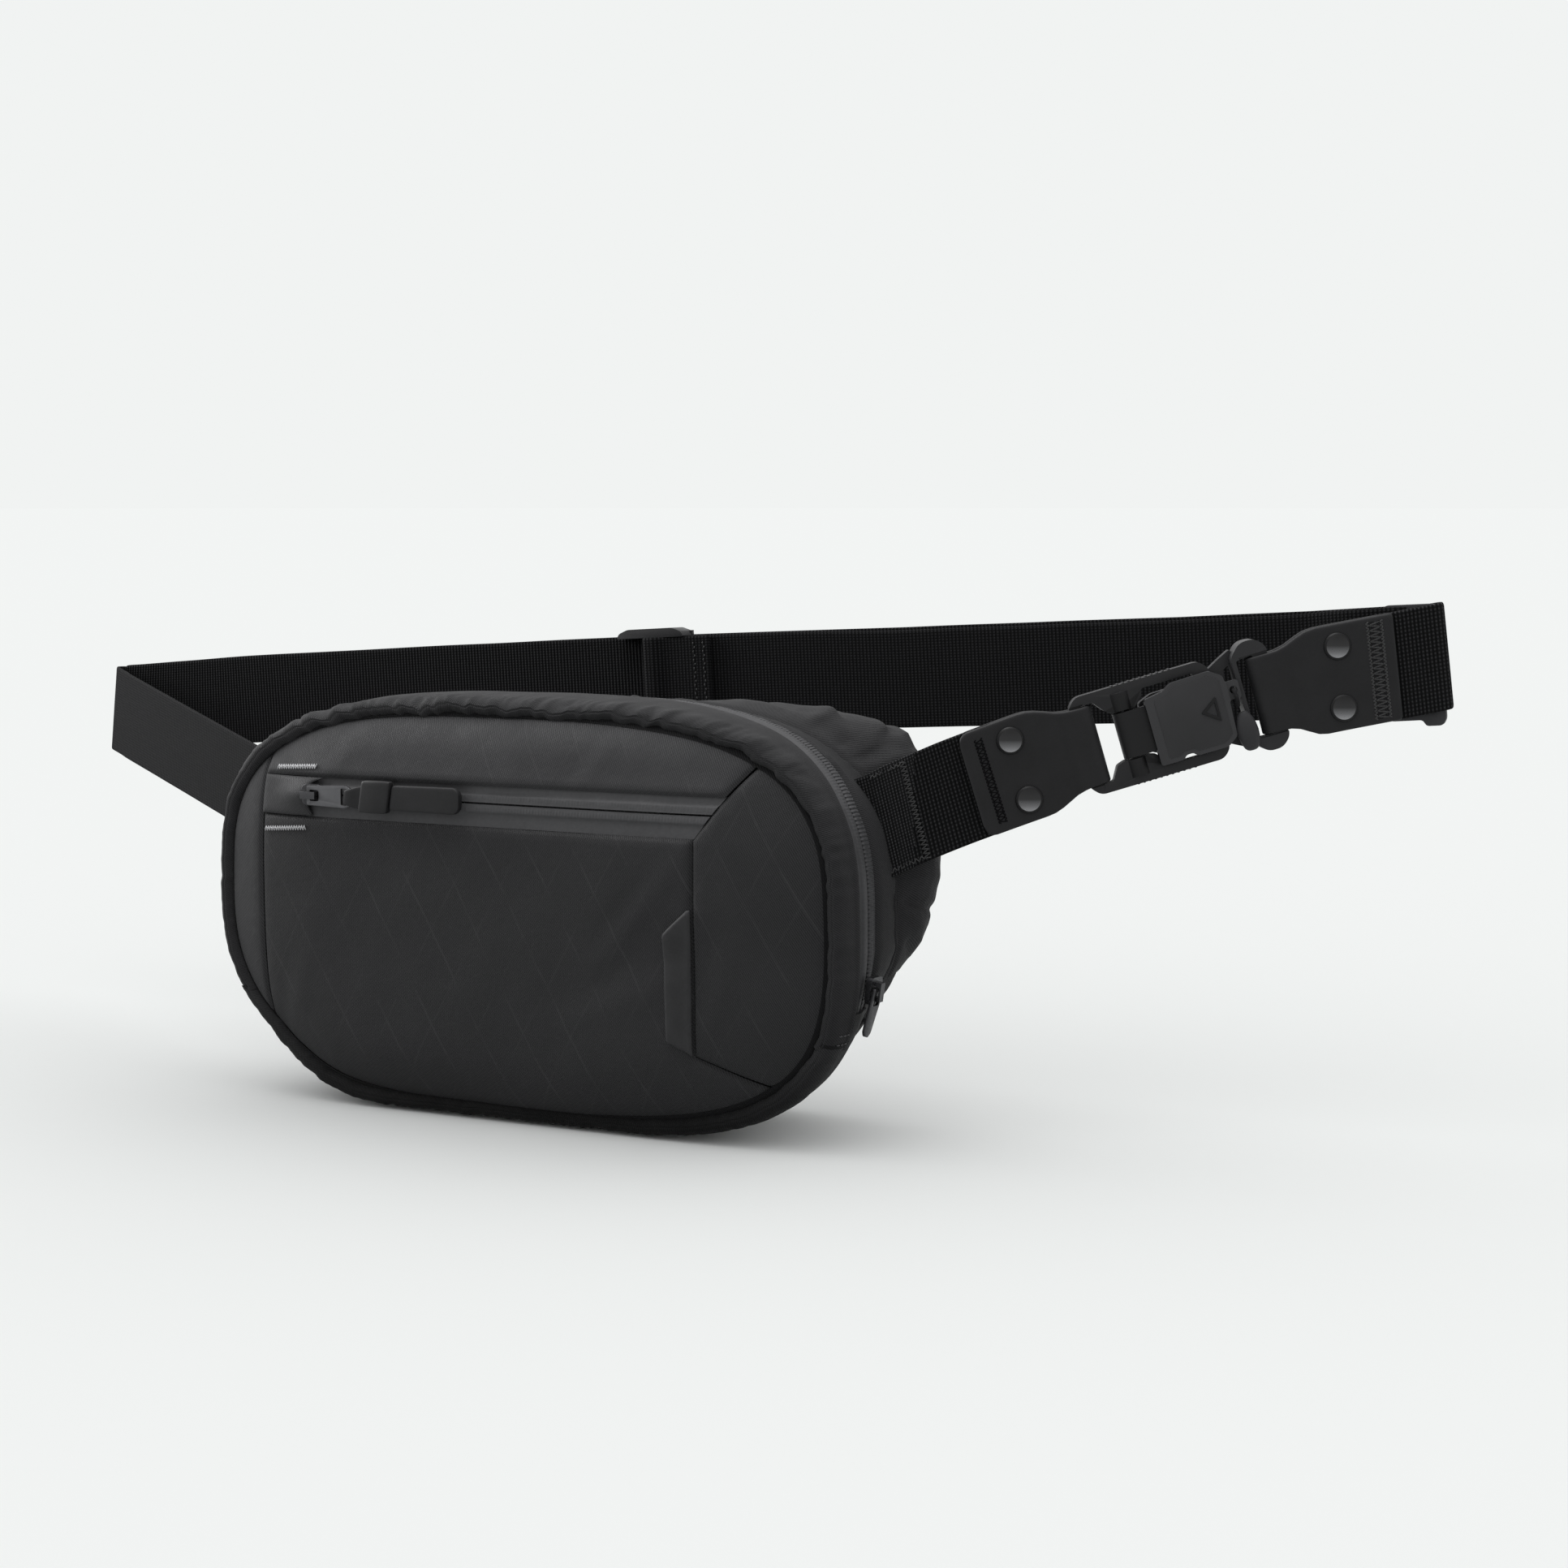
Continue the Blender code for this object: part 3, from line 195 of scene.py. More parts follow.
def fabric(name, base, scrim=True, uv=False, rough=0.62, painted_floor_shade=None):
    """Coated pack fabric: twill, soft tonal patches, faint diamond scrim lines.
    painted_floor_shade is (height in metres where the painted shade near the floor ends,
    brightness at the foot)."""
    m = Shader(name)
    axes = m.axes("UV" if uv else "Object")
    u, v = axes[0], axes[1 if uv else 2]
    patches = m.noise(16.0, detail=3.0, rough=0.6)
    mottle = m.noise(70.0, detail=4.0, rough=0.6)
    grain = m.noise(1500.0, detail=2.0, rough=0.6)
    color = m.ramp(m.weigh(patches, 0.55, mottle, 0.45), (0.30, 0.80), (0.70, 1.24), tint=base)
    flecks = m.ramp(grain, (0.45, 0), (0.72, 1))
    color = m.mix(m.mul(flecks, 0.30), color, shade(base, 1.9))
    # yarns cross on the diagonal
    warp = m.wave(m.weigh(u, 0.85, v, 0.53), TWILL)
    weft = m.wave(m.sub(m.mul(v, 0.85), m.mul(u, 0.53)), TWILL * 1.6)
    weave = m.mul(warp, m.add(m.mul(weft, 0.4), 0.6))
    m.bump(weave, strength=0.60, distance=0.00018)
    m.bump(mottle, strength=0.32, distance=0.0014)
    yarn = m.ramp(m.add(m.mul(weave, 0.5), 0.5), (0.30, 0), (0.95, 1))
    gaps = m.mix(0.28, color, (0.002, 0.002, 0.0022))
    color = m.mix(m.mul(yarn, 0.56), gaps, shade(base, 2.5))
    if scrim:
        drift = m.mul(m.sub(patches, 0.5), 0.010)
        lines = []
        for sign, strength in ((1, 1.0), (-1, 0.55)):
            q = m.weigh(u, 1.0 / SCRIM, v, sign * 0.58 / SCRIM)
            q = m.add(q, m.mul(drift, 20.0))
            off_line = m.math("ABSOLUTE", m.sub(m.math("FRACT", q), 0.5))
            lines.append(m.mul(m.math("LESS_THAN", off_line, 0.022), strength))
        broken = m.ramp(m.noise(45.0, detail=2.0), (0.38, 0), (0.60, 1))
        line = m.mul(m.math("MAXIMUM", *lines), broken)
        color = m.mix(m.mul(line, 0.20), color, (0.045, 0.045, 0.045 * 1.02))
        m.bump(line, strength=0.22, distance=0.0003)
    # painted shade: colour darkened towards the floor, standing in for the shade under the bag
    if painted_floor_shade:
        height, foot = painted_floor_shade
        fade = m.ramp(m.mul(m.axes()[2], 1.0 / height), (0.12, foot), (1.0, 1))
        color = m.mix(1.0, color, fade, blend_type="MULTIPLY")
    m.set(Base_Color=color, Sheen_Weight=0.015, Sheen_Roughness=0.5, Specular_IOR_Level=0.12,
          Roughness=m.ramp(mottle, (0.3, rough - .08), (0.7, rough + .10)))
    return m.material


def woven(name, base, rib_pitch=0.0016, yarn_pitch=0.0011, cross=0.22):
    """Webbing: ribs along u crossed by yarns along v; pitches in metres."""
    m = Shader(name)
    u, v, _ = m.axes("UV")
    rib = m.wave(u, rib_pitch)
    yarn = m.wave(v, yarn_pitch)
    fuzz = m.noise(900.0, detail=2.0)
    patches = m.noise(60.0)
    weave = m.mul(m.add(rib, 1.0), m.add(m.mul(yarn, cross), 1.0 - cross))
    color = m.ramp(m.weigh(weave, 0.36, fuzz, 0.30), (0.16, 0.12), (0.40, 0.8), (0.95, 3.6),
                   tint=base)
    m.set(Base_Color=m.mix(m.mul(patches, 0.15), color, shade(base, 1.5)))
    m.bump(weave, strength=0.8, distance=0.0003)
    m.set(Roughness=0.8, Sheen_Weight=0.01, Specular_IOR_Level=0.05)
    return m.material


def tape(name, base, coil=False):
    """Coated zip tape: satin film with a faint grain."""
    m = Shader(name)
    grain = m.noise(700.0)
    mottle = m.noise(45.0)
    m.set(Base_Color=m.ramp(m.weigh(grain, 0.4, mottle, 0.6), (0.30, 0.82), (0.72, 1.20),
                            tint=base))
    m.bump(grain, strength=0.35, distance=0.00018)
    m.bump(m.noise(330.0), strength=0.45, distance=0.0005)
    if coil:    # the coil pressing through the film
        m.bump(m.wave(m.axes("UV")[0], 0.0015), strength=0.9, distance=0.0003)
    m.set(Roughness=0.62, Specular_IOR_Level=0.18)
    return m.material


def rubber(name, base):
    m = Shader(name)
    grain = m.noise(1300.0)
    mottle = m.noise(90.0)
    cells = m.texture("ShaderNodeTexVoronoi", 1500.0, feature="DISTANCE_TO_EDGE")
    color = m.ramp(m.weigh(grain, 0.3, mottle, 0.7), (0.3, 0.80), (0.7, 1.25), tint=base)
    m.set(Base_Color=m.wear_and_edge_highlight(color, shade(base, 3.0), amount=0.30))
    m.bump(cells.outputs["Distance"], strength=0.20, distance=0.0002)
    m.bump(grain, strength=0.15, distance=0.0002)
    m.set(Roughness=m.ramp(mottle, (0.3, .48), (0.7, .60)), Specular_IOR_Level=0.15)
    return m.material


def plastic(name, base, rough=0.45):
    m = Shader(name)
    grain = m.noise(2600.0, detail=2.0)
    mottle = m.noise(60.0)
    color = m.ramp(mottle, (0.3, 0.88), (0.7, 1.14), tint=base)
    m.set(Base_Color=m.wear_and_edge_highlight(color, shade(base, 2.6), amount=0.45))
    m.bump(grain, strength=0.22, distance=0.00012)
    m.set(Roughness=m.ramp(mottle, (0.3, rough - .04), (0.7, rough + .08)),
          Specular_IOR_Level=0.20)
    return m.material


def metal_finish(name, rough, metallic):
    """Grain and gloss of a metal, its colour still to be set."""
    m = Shader(name)
    grain = m.noise(900.0)
    m.bump(grain, strength=0.06, distance=0.0001)
    m.set(Roughness=m.ramp(grain, (0.3, rough - .05), (0.7, rough + .08)), Metallic=metallic)
    return m


def metal(name, base, rough=0.28, metallic=0.85):
    m = metal_finish(name, rough, metallic)
    color = m.ramp(m.noise(120.0), (0.3, 0.8), (0.7, 1.25), tint=base)
    m.set(Base_Color=m.wear_and_edge_highlight(color, shade(base, 3.0), amount=0.35))
    return m.material


def rivet_painted_reflection():
    """Metal coloured with a painted reflection of the floor: light at the bottom of each rivet,
    darkening to its top.
    """
    m = metal_finish("rivet_painted_reflection", rough=0.30, metallic=0.55)
    height = m.axes("Generated", m.node("ShaderNodeTexCoord"))[2]
    m.set(Base_Color=m.ramp(height, (0.06, 0.26), (0.30, 0.110), (0.52, 0.018), (0.95, 0.002),
                            tint=(1.0, 1.0, 1.04)))
    return m.material


def thread(name, base, sheen=0.2, specular=0.5):
    m = Shader(name)
    m.set(Base_Color=m.ramp(m.noise(2500.0, detail=2.0), (0.3, 0.7), (0.7, 1.25), tint=base))
    twist = m.texture("ShaderNodeTexWave", 900.0, wave_type="BANDS",
                      bands_direction="DIAGONAL")
    m.bump(twist.outputs["Fac"], strength=0.4, distance=0.0001)
    m.set(Roughness=0.8, Sheen_Weight=sheen, Specular_IOR_Level=specular)
    return m.material


def foam(name, base):
    m = Shader(name)
    cells = m.texture("ShaderNodeTexVoronoi", 900.0).outputs["Distance"]
    m.set(Base_Color=m.ramp(cells, (0.1, 0.6), (0.7, 1.2), tint=base), Roughness=0.9)
    m.bump(cells, strength=0.5, distance=0.0004)
    return m.material


def air_mesh(name, base, pitch_x=0.0032, pitch_z=0.0028):
    """Spacer fabric of the back panel with staggered holes; pitches in metres."""
    m = Shader(name)
    axes = m.axes()
    x = m.mul(axes[0], 2 * math.pi / pitch_x)
    z = m.mul(axes[2], 2 * math.pi / pitch_z)
    lattice = m.mul(m.math("SINE", m.add(x, z)), m.math("SINE", m.sub(x, z)))
    mottle = m.noise(50.0)
    hole = m.ramp(lattice, (0.35, 0), (0.65, 1))
    color = m.mix(hole, shade(base, 1.2), shade(base, 0.30))
    m.set(Base_Color=m.mix(m.mul(mottle, 0.3), color, shade(base, 1.6)))
    m.bump(m.mul(lattice, -1.0), strength=0.6, distance=0.0005)
    m.set(Roughness=0.85, Sheen_Weight=0.15)
    return m.material


LAMINATE = fabric("laminate_fabric", (0.0195, 0.0195, 0.0205))
# base and gusset fabrics are painted darker near the floor as shade
BASE_FABRIC = fabric("base_fabric", (0.0150, 0.0150, 0.0157), scrim=False, uv=True, rough=0.80,
                     painted_floor_shade=(0.046, 0.12))
GUSSET_FABRIC = fabric("gusset_fabric", (0.0128, 0.0128, 0.0135), scrim=False, uv=True,
                       rough=0.78, painted_floor_shade=(0.060, 0.45))
WING_FABRIC = fabric("wing_fabric", (0.0170, 0.0170, 0.0177), scrim=False, uv=True, rough=0.76)
BELT_WEB = woven("belt_webbing", (0.0042, 0.0042, 0.0046))
FRONT_WEB = woven("front_webbing", (0.0086, 0.0086, 0.0091), rib_pitch=0.0014,
                  yarn_pitch=0.0014, cross=0.38)
FINE_WEB = woven("stub_webbing_m", (0.0135, 0.0135, 0.0142), rib_pitch=0.0011,
                 yarn_pitch=0.0011, cross=0.38)
POCKET_TAPE_UPPER = tape("pocket_tape_upper", (0.049, 0.049, 0.051))
POCKET_TAPE_LOWER = tape("pocket_tape_lower", (0.043, 0.043, 0.045))
LABEL_RUBBER = rubber("label_rubber", (0.0175, 0.0175, 0.0183))
# darker copy of the laminate: painted shade for the main and right front panels
LAMINATE_SHADED = fabric("laminate_fabric_shaded", (0.0140, 0.0140, 0.0147))
COATED_TAPE = tape("coated_tape", (0.038, 0.038, 0.040))
COATED_COIL = tape("coated_coil", (0.035, 0.035, 0.037), coil=True)
TAB_RUBBER = rubber("rubberised_sheet", (0.0094, 0.0094, 0.0100))
MOULDED_RUBBER = rubber("moulded_rubber", (0.0115, 0.0115, 0.0121))
BUCKLE_PLASTIC = plastic("buckle_plastic_m", (0.0088, 0.0088, 0.0095), rough=0.40)
BLACK_PLASTIC = plastic("black_plastic", (0.0028, 0.0028, 0.0031))
RING_PLASTIC = plastic("ring_plastic", (0.0205, 0.0205, 0.0222))
LEVER_PLASTIC = plastic("lever_plastic", (0.0155, 0.0155, 0.0164), rough=0.42)
GREY_PLASTIC = plastic("grey_plastic_m", (0.0150, 0.0150, 0.0162))
BLACK_METAL = metal("black_metal_m", (0.030, 0.030, 0.032))
PULL_METAL = metal("pull_metal", (0.055, 0.055, 0.058), rough=0.32, metallic=0.8)
RIVET_REFLECTION_PAINT = rivet_painted_reflection()
MAGNET = metal("magnet_plating", (0.13, 0.13, 0.135), rough=0.3, metallic=1.0)
LINING = fabric("lining_fabric", (0.075, 0.075, 0.078), scrim=False, rough=0.7)
FOAM = foam("foam_m", (0.05, 0.05, 0.052))
AIR_MESH = air_mesh("air_mesh", (0.016, 0.016, 0.017))
THREAD_LIGHT = thread("light_thread", (0.30, 0.30, 0.31))
THREAD_DARK = thread("dark_thread", (0.018, 0.018, 0.019))
THREAD_STRAP = thread("strap_thread", (0.0095, 0.0095, 0.0100))
THREAD_BLACK = thread("black_thread", (0.0055, 0.0055, 0.0058), sheen=0.0, specular=0.0)
SEAM_SHADOW = fabric("seam_shadow", (0.0032, 0.0032, 0.0035), scrim=False, rough=0.85)


# ============================================================ mesh tools
def new_obj(name, verts, faces, mat, uv=None, smooth=True, angle=40):
    """Mesh object from mm about the bag's centre; uv has one pair per vertex."""
    me = bpy.data.meshes.new(name)
    points = np.array([tuple(p) for p in verts], float)
    points[:, 2] += BASE_Z
    points *= MM
    me.from_pydata(points.tolist(), [], [tuple(int(i) for i in f) for f in faces])
    if uv is not None:
        layer = me.uv_layers.new(name="UVMap")
        corners = np.zeros(len(me.loops), np.int32)
        me.loops.foreach_get("vertex_index", corners)
        layer.data.foreach_set("uv", np.array(uv, float)[corners].ravel())
    bm = bmesh.new()
    bm.from_mesh(me)
    bmesh.ops.recalc_face_normals(bm, faces=bm.faces)
    bm.to_mesh(me)
    bm.free()
    if smooth:
        me.shade_smooth()
        me.set_sharp_from_angle(angle=math.radians(angle))
    me.materials.append(mat)
    ob = bpy.data.objects.new(name, me)
    scene.collection.objects.link(ob)
    return ob


def grid_solid(name, rows, mat, closed=False, angle=40):
    """Closed shell. rows[i][j] is (outer x y z, inner x y z[, u, v]);
    closed joins the last row to the first."""
    cells = np.array(rows, float)
    nu, nv, columns = cells.shape
    verts = np.concatenate([cells[..., 0:3].reshape(-1, 3), cells[..., 3:6].reshape(-1, 3)])
    uv = np.tile(cells[..., 6:8].reshape(-1, 2), (2, 1)) if columns == 8 else None
    o = nu * nv

    def at(i, j):
        return (i % nu) * nv + j

    faces = []
    for i in range(nu if closed else nu - 1):
        for j in range(nv - 1):
            a, b, c, d = at(i, j), at(i + 1, j), at(i + 1, j + 1), at(i, j + 1)
            faces += [(a, b, c, d), (a + o, d + o, c + o, b + o)]
        a, b = at(i, 0), at(i + 1, 0)
        faces.append((a, a + o, b + o, b))
        a, b = at(i, nv - 1), at(i + 1, nv - 1)
        faces.append((b, b + o, a + o, a))
    if not closed:
        for j in range(nv - 1):
            a, d = at(0, j), at(0, j + 1)
            b, c = at(nu - 1, j), at(nu - 1, j + 1)
            faces += [(a, d, d + o, a + o), (b, b + o, c + o, c)]
    return new_obj(name, verts, faces, mat, uv=uv, angle=angle)


def tube(name, rings, mat, closed=False, zero_uv=False, angle=40):
    """Skin over equal rings of points, capped unless it closes on itself."""
    m, n = len(rings), len(rings[0])
    verts = [p for ring in rings for p in ring]
    faces = []
    for i in range(m if closed else m - 1):
        a, b = i * n, (i + 1) % m * n
        faces += [(a + j, b + j, b + (j + 1) % n, a + (j + 1) % n) for j in range(n)]
    if not closed:
        faces += [tuple(range(n)), tuple((m - 1) * n + j for j in reversed(range(n)))]
    uv = [(0.0, 0.0)] * len(verts) if zero_uv else None
    return new_obj(name, verts, faces, mat, uv=uv, angle=angle)


def join_parts(name, parts, mat, **options):
    """One piece from closed bodies given as (verts, faces)."""
    verts, faces = [], []
    for part_verts, part_faces in parts:
        o = len(verts)
        verts += part_verts
        faces += [tuple(i + o for i in face) for face in part_faces]
    return new_obj(name, verts, faces, mat, **options)


def place(ob, body, slot, *nodes):
    """Piece that rides on one body."""
    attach(ob, body)
    if nodes:
        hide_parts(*nodes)
    return ob


def bridge(ob, slot, bodies, ends, *nodes):
    """Soft piece baked into world space, on neither body; bodies and ends (its start and end in
    metres) are not used.
    """
    if nodes:
        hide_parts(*nodes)
    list(bodies)
    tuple(ends[0])
    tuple(ends[1])
    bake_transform(ob)


def paint(ob, mat, test):
    """Second material on the faces whose centre (mm from the bag's centre) passes."""
    ob.data.materials.append(mat)
    for face in ob.data.polygons:
        if test(face.center / MM - Vector((0, 0, BASE_Z))):
            face.material_index = 1


def interp_row(table, x):
    """Values of a table at x, held beyond its ends; the first column is x."""
    if x <= table[0][0]:
        return table[0][1:]
    for low, high in zip(table, table[1:]):
        if x <= high[0]:
            t = (x - low[0]) / (high[0] - low[0])
            return tuple(u + (v - u) * t for u, v in zip(low[1:], high[1:]))
    return table[-1][1:]


def interp(table, x):
    return interp_row(table, x)[0]


def smooth01(t):
    t = min(max(t, 0.0), 1.0)
    return t * t * (3 - 2 * t)


def bell(x, centre, width):
    return math.exp(-((x - centre) / width) ** 2)


def wobble(x, y=0.0, z=0.0):
    return noise.noise(Vector((x, y, z)))


# ============================================================ bag shell
# y, side inset, superellipse power, rise of the floor
SECTION = [(-33.6, 5.5, 3.2, 0.0), (-30.0, 1.6, 3.15, 0.0), (-26.0, 0.0, 3.1, 0.0),
           (-6.0, 0.0, 3.1, 0.0), (6.0, 1.4, 3.0, 0.0), (20.0, 5.5, 2.8, 0.0),
           (30.0, 9.5, 2.7, 3.0), (38.0, 15.5, 2.6, 9.0)]
# tuck of the lower right corner: depth by y, then share of it by degrees
TUCK_Y = [(-30.0, 0.0), (-24.0, 0.9), (-18.0, 2.2), (-12.0, 4.6), (-6.0, 7.0), (0.0, 8.1),
          (8.0, 8.8), (24.0, 8.6), (32.0, 7.7), (38.0, 5.6)]
TUCK_DEG = [(308.0, 0.0), (318.0, 0.25), (325.0, 0.6), (331.0, 0.86), (335.0, 1.0),
            (341.0, 1.0), (346.0, 0.86), (350.5, 0.55), (354.0, 0.18), (357.0, 0.0)]


def superellipse(phi, a, b, n):
    return 1.0 / ((abs(math.cos(phi)) / a) ** n + (abs(math.sin(phi)) / b) ** n) ** (1.0 / n)


def tuck(phi, y):
    """How far the lower corners sit in: the left at its front edge, the right behind it."""
    deg = math.degrees(phi) % 360.0
    left = 7.6 * bell(deg, 203.5, 12.5) * smooth01((-22.0 - y) / 13.0)
    return left + interp(TUCK_Y, y) * interp(TUCK_DEG, deg)


def side_inset(y):
    """Section inset without the turn-in at the front edge."""
    return interp(SECTION, y) if y > -6 else 0.0


def shell_point(phi, y, inset=0.0, section_inset=None):
    tucked = tuck(phi, y)
    inset += tucked
    lift = 2.0 * smooth01((-10.0 - y) / 26.0)
    side, power, rise = interp_row(SECTION, y)
    if section_inset is not None:
        side = section_inset
        if y < -30:
            rise = max(side - 0.6, 0)
    top = side * 0.35 if y > -6.0 else side
    r = superellipse(phi, HALF_W - side - inset, HALF_H - top - inset, power)
    z = r * math.sin(phi)
    floor = -(BASE_Z - rise) + inset - tucked + lift
    soft = 1.5      # rounds the meeting of the outline and the flat base
    if z < floor + soft:
        h = max(soft - abs(z - floor), 0.0) / soft
        z = max(z, floor) + h * h * soft * 0.25
    return Vector((r * math.cos(phi), y, z))


def even_angles(phi0, phi1, count):
    """Angles at even arc lengths round the shell, and those lengths."""
    fine = np.linspace(phi0, phi1, 1441)
    pts = [shell_point(p, -20.0) for p in fine]
    arc = np.concatenate([[0.0], np.cumsum([(q - p).length for p, q in zip(pts, pts[1:])])])
    t = np.linspace(0, arc[-1], count + 1)
    return np.interp(t, arc, fine), t


def zip_y(phi):
    """Line of the main zip; it moves back over the top."""
    p = shell_point(phi, -20.0)
    if p.z < 0:
        return MOUTH_Y
    u = min(max((130.0 - abs(p.x)) / 90.0, 0.0), 1.0)
    return MOUTH_Y + 22.0 * math.sin(u * math.pi / 2)


# ============================================================ gussets
def strip(name, deg0, deg1, count, path, mat, push, thick=1.1, off=0.0):
    """Fabric strip round the bag. path(phi) lists (y, section inset or None);
    push(arc, k, phi, y) is the outward move in mm."""
    rows = []
    for phi, arc in zip(*even_angles(math.radians(deg0), math.radians(deg1), count)):
        row, run, previous = [], 0.0, None
        for k, (y, inset) in enumerate(path(phi)):
            out = off + push(arc, k, phi, y)
            outer = shell_point(phi, y, -out, inset)
            inner = shell_point(phi, y, thick - out, inset)
            outer.z = max(outer.z, -BASE_Z + 0.02)
            inner.z = max(inner.z, -BASE_Z + 0.9)
            if previous is not None:
                run += (outer - previous).length
            previous = outer
            row.append((*outer, *inner, arc * MM, run * MM))
        rows.append(row)
    return grid_solid(name, rows, mat)


# y and inset of the rolled front edge
ROLL = [(-33.9, 7.0), (-35.2, 5.7), (-36.7, 4.9), (-37.7, 3.9), (-38.0, 2.9), (-37.5, 1.8),
        (-36.1, 0.8), (-33.9, 0.2), (-31.4, -0.15), (-29.0, -0.3)]
BACK_EDGE = (38.2, side_inset(38.0) + 2.0)      # turned-in rear edge
FRONT_TO_REAR = ("front_shell", "bag_rear")
BASE_ENDS = ((0, -0.027, 0.02), (0, -0.010, 0.02))
# degrees above the side's midline, outward reach of the wing
WING_REACH = [(-13.0, 0.0), (-9.0, 0.4), (-6.5, 1.6), (-4.0, 4.0), (-0.6, 7.6), (4.1, 10.4),
              (9.3, 13.4), (17.0, 16.4), (24.8, 19.2), (27.1, 20.8), (29.1, 19.7),
              (31.9, 16.0), (35.8, 12.0), (41.0, 8.2), (47.0, 4.6), (53.0, 1.8), (58.0, 0.0)]
# y, share of that reach
WING_SHARE = [(7.6, 0.0), (9.0, 0.08), (11.0, 0.34), (13.5, 0.66), (17.0, 0.92), (21.0, 1.0),
              (27.0, 1.0), (31.0, 0.93), (34.0, 0.76), (36.5, 0.46), (38.0, 0.14), (38.8, 0.0)]


def pucker(arc, y, seam_y, reach, amount, seed=0.0):
    """Gathers that run back from a seam."""
    near = max(0.0, 1.0 - abs(y - seam_y) / reach)
    gathers = wobble(arc * 0.135, seed) + 0.55 * wobble(arc * 0.33, seed + 5, 2.0)
    patchy = 0.55 + 0.9 * max(wobble(arc * 0.02, seed + 9, 1.0) + 0.35, 0.0)
    return amount * gathers * near * patchy


def front_path(phi):
    edge = zip_y(phi) - ZIP_HALF - 0.1
    path = list(ROLL)
    for t in (0.12, 0.25, 0.4, 0.55, 0.7, 0.82, 0.9, 0.96):
        y = -29.0 + (edge + 29.0) * t
        swell = -0.9 * math.sin(math.pi * min(t * 1.05, 1.0)) - 0.1
        if t >= 0.9:
            swell += 0.25
        path.append((y, side_inset(y) + swell))
    return path + [(edge, side_inset(edge) + 1.2)]


def front_push(arc, k, phi, y):
    top = smooth01((math.sin(phi) - 0.1) / 0.6)
    d = pucker(arc, y, -36.0, 12.0, 0.85 + 0.75 * top)
    d += 0.5 * wobble(arc * 0.030, y * 0.05, 3.0)
    # lumps and creases along the roll
    d += (0.5 + 1.1 * top) * max(wobble(arc * 0.050, 4.0, 7.0), -0.25) * bell(y, -37.0, 3.0)
    crease = bell(wobble(arc * 0.030, y * 0.03, 21.0), 0.0, 0.07)
    d -= (0.3 + 0.8 * top) * crease * smooth01((-29.5 - y) / 3.0)
    return d * 0.2 if k == 0 else d


def wing_side(phi):
    """Degrees above the side's midline, and 1 for right or -1 for left."""
    deg = math.degrees(phi)
    return (180.0 - deg + 3.0, -1) if deg > 90 else (deg, 1)


def wing_reach(phi):
    deg, side = wing_side(phi)
    return interp(WING_REACH, deg) * (1.0 if side > 0 else 0.8)


def wing_mask(phi, y):
    return smooth01(wing_reach(phi) / 4.0) * smooth01((y - 5.5) / 3.0)


def rear_path(phi):
    edge = zip_y(phi) + ZIP_HALF + 0.1
    path = [(edge, side_inset(edge) + 1.2)]
    for t in (0.03, 0.08, 0.14, 0.20, 0.26, 0.30, 0.325, 0.345, 0.37, 0.42, 0.5, 0.58, 0.66,
              0.74, 0.82, 0.89, 0.94, 0.975, 1.0):
        y = edge + (38.6 - edge) * t
        inset = side_inset(y)
        if t == 0.325:      # sewn joint between zip facing and side
            inset += 0.85
        elif t <= 0.30:
            inset -= 0.45 * math.sin(math.pi * t / 0.32)
        else:
            inset -= 1.3 * math.sin(math.pi * (t - 0.34) / 0.66) * (1 - wing_mask(phi, y))
        path.append((y, inset + 0.9 * wing_mask(phi, y)))
    return path + [BACK_EDGE]


def rear_push(arc, k, phi, y):
    joint = zip_y(phi) + 17
    side = smooth01((abs(math.cos(phi)) - 0.55) / 0.35)
    d = 0.5 * wobble(arc * 0.03, y * 0.06, 7.0)
    if y > joint:
        d += (0.7 + 1.3 * side) * wobble(arc * 0.055, y * 0.10, 1.0)
        d += 0.5 * wobble(arc * 0.15, y * 0.05, 4.0) + pucker(arc, y, joint, 9.0, 1.3, 3.0)
    if y > 36:
        d *= 0.4
    return d * (1 - wing_mask(phi, y))


def base_path(phi):
    ys = (-26, -23, -20.5, -18.7, -17.3, -15.5, -12, -8, -4, 0, 5, 10, 15, 20, 25, 30, 34, 37,
          38.6)
    swollen = [(y, side_inset(y) - 0.35 * math.sin(math.pi * (y + 26) / 64.6)) for y in ys]
    return ROLL + swollen + [BACK_EDGE]


def base_push(arc, k, phi, y):
    d = pucker(arc, y, -36.0, 10.0, 0.7, 11.0)
    side = smooth01((abs(math.cos(phi)) - 0.5) / 0.3)
    d += 0.7 * wobble(arc * 0.03, y * 0.045, 13.0) * side
    return max(d * 0.2 if k == 0 else d, -2.0)


place(strip("front_gusset_skin", RIGHT_END, LEFT_END, 620, front_path, GUSSET_FABRIC,
            front_push), "front_shell", "gusset_fabric", "front_gusset")
place(strip("rear_gusset_skin", RIGHT_END, LEFT_END, 520, rear_path, GUSSET_FABRIC, rear_push),
      "bag_rear", "gusset_fabric", "rear_gusset")
bridge(strip("base_gusset_skin", LEFT_END - 0.6, 360 + RIGHT_END + 0.6, 420, base_path,
             BASE_FABRIC, base_push, off=0.75),
       "gusset_fabric", FRONT_TO_REAR, BASE_ENDS, "base_gusset_front", "base_gusset_rear")
# dark strips in the seam shadow fabric: painted shade along the seams at both ends of the base
# piece
for side_name, deg0, deg1 in (("right", RIGHT_END + 0.45, RIGHT_END + 1.15),
                              ("left", LEFT_END - 1.15, LEFT_END - 0.45)):
    bridge(strip("base_seam_line_" + side_name, deg0, deg1, 3, base_path, SEAM_SHADOW,
                 lambda arc, k, phi, y: -0.2 if k > 1 else -0.6, thick=0.8, off=0.75),
           "gusset_fabric", FRONT_TO_REAR, BASE_ENDS)


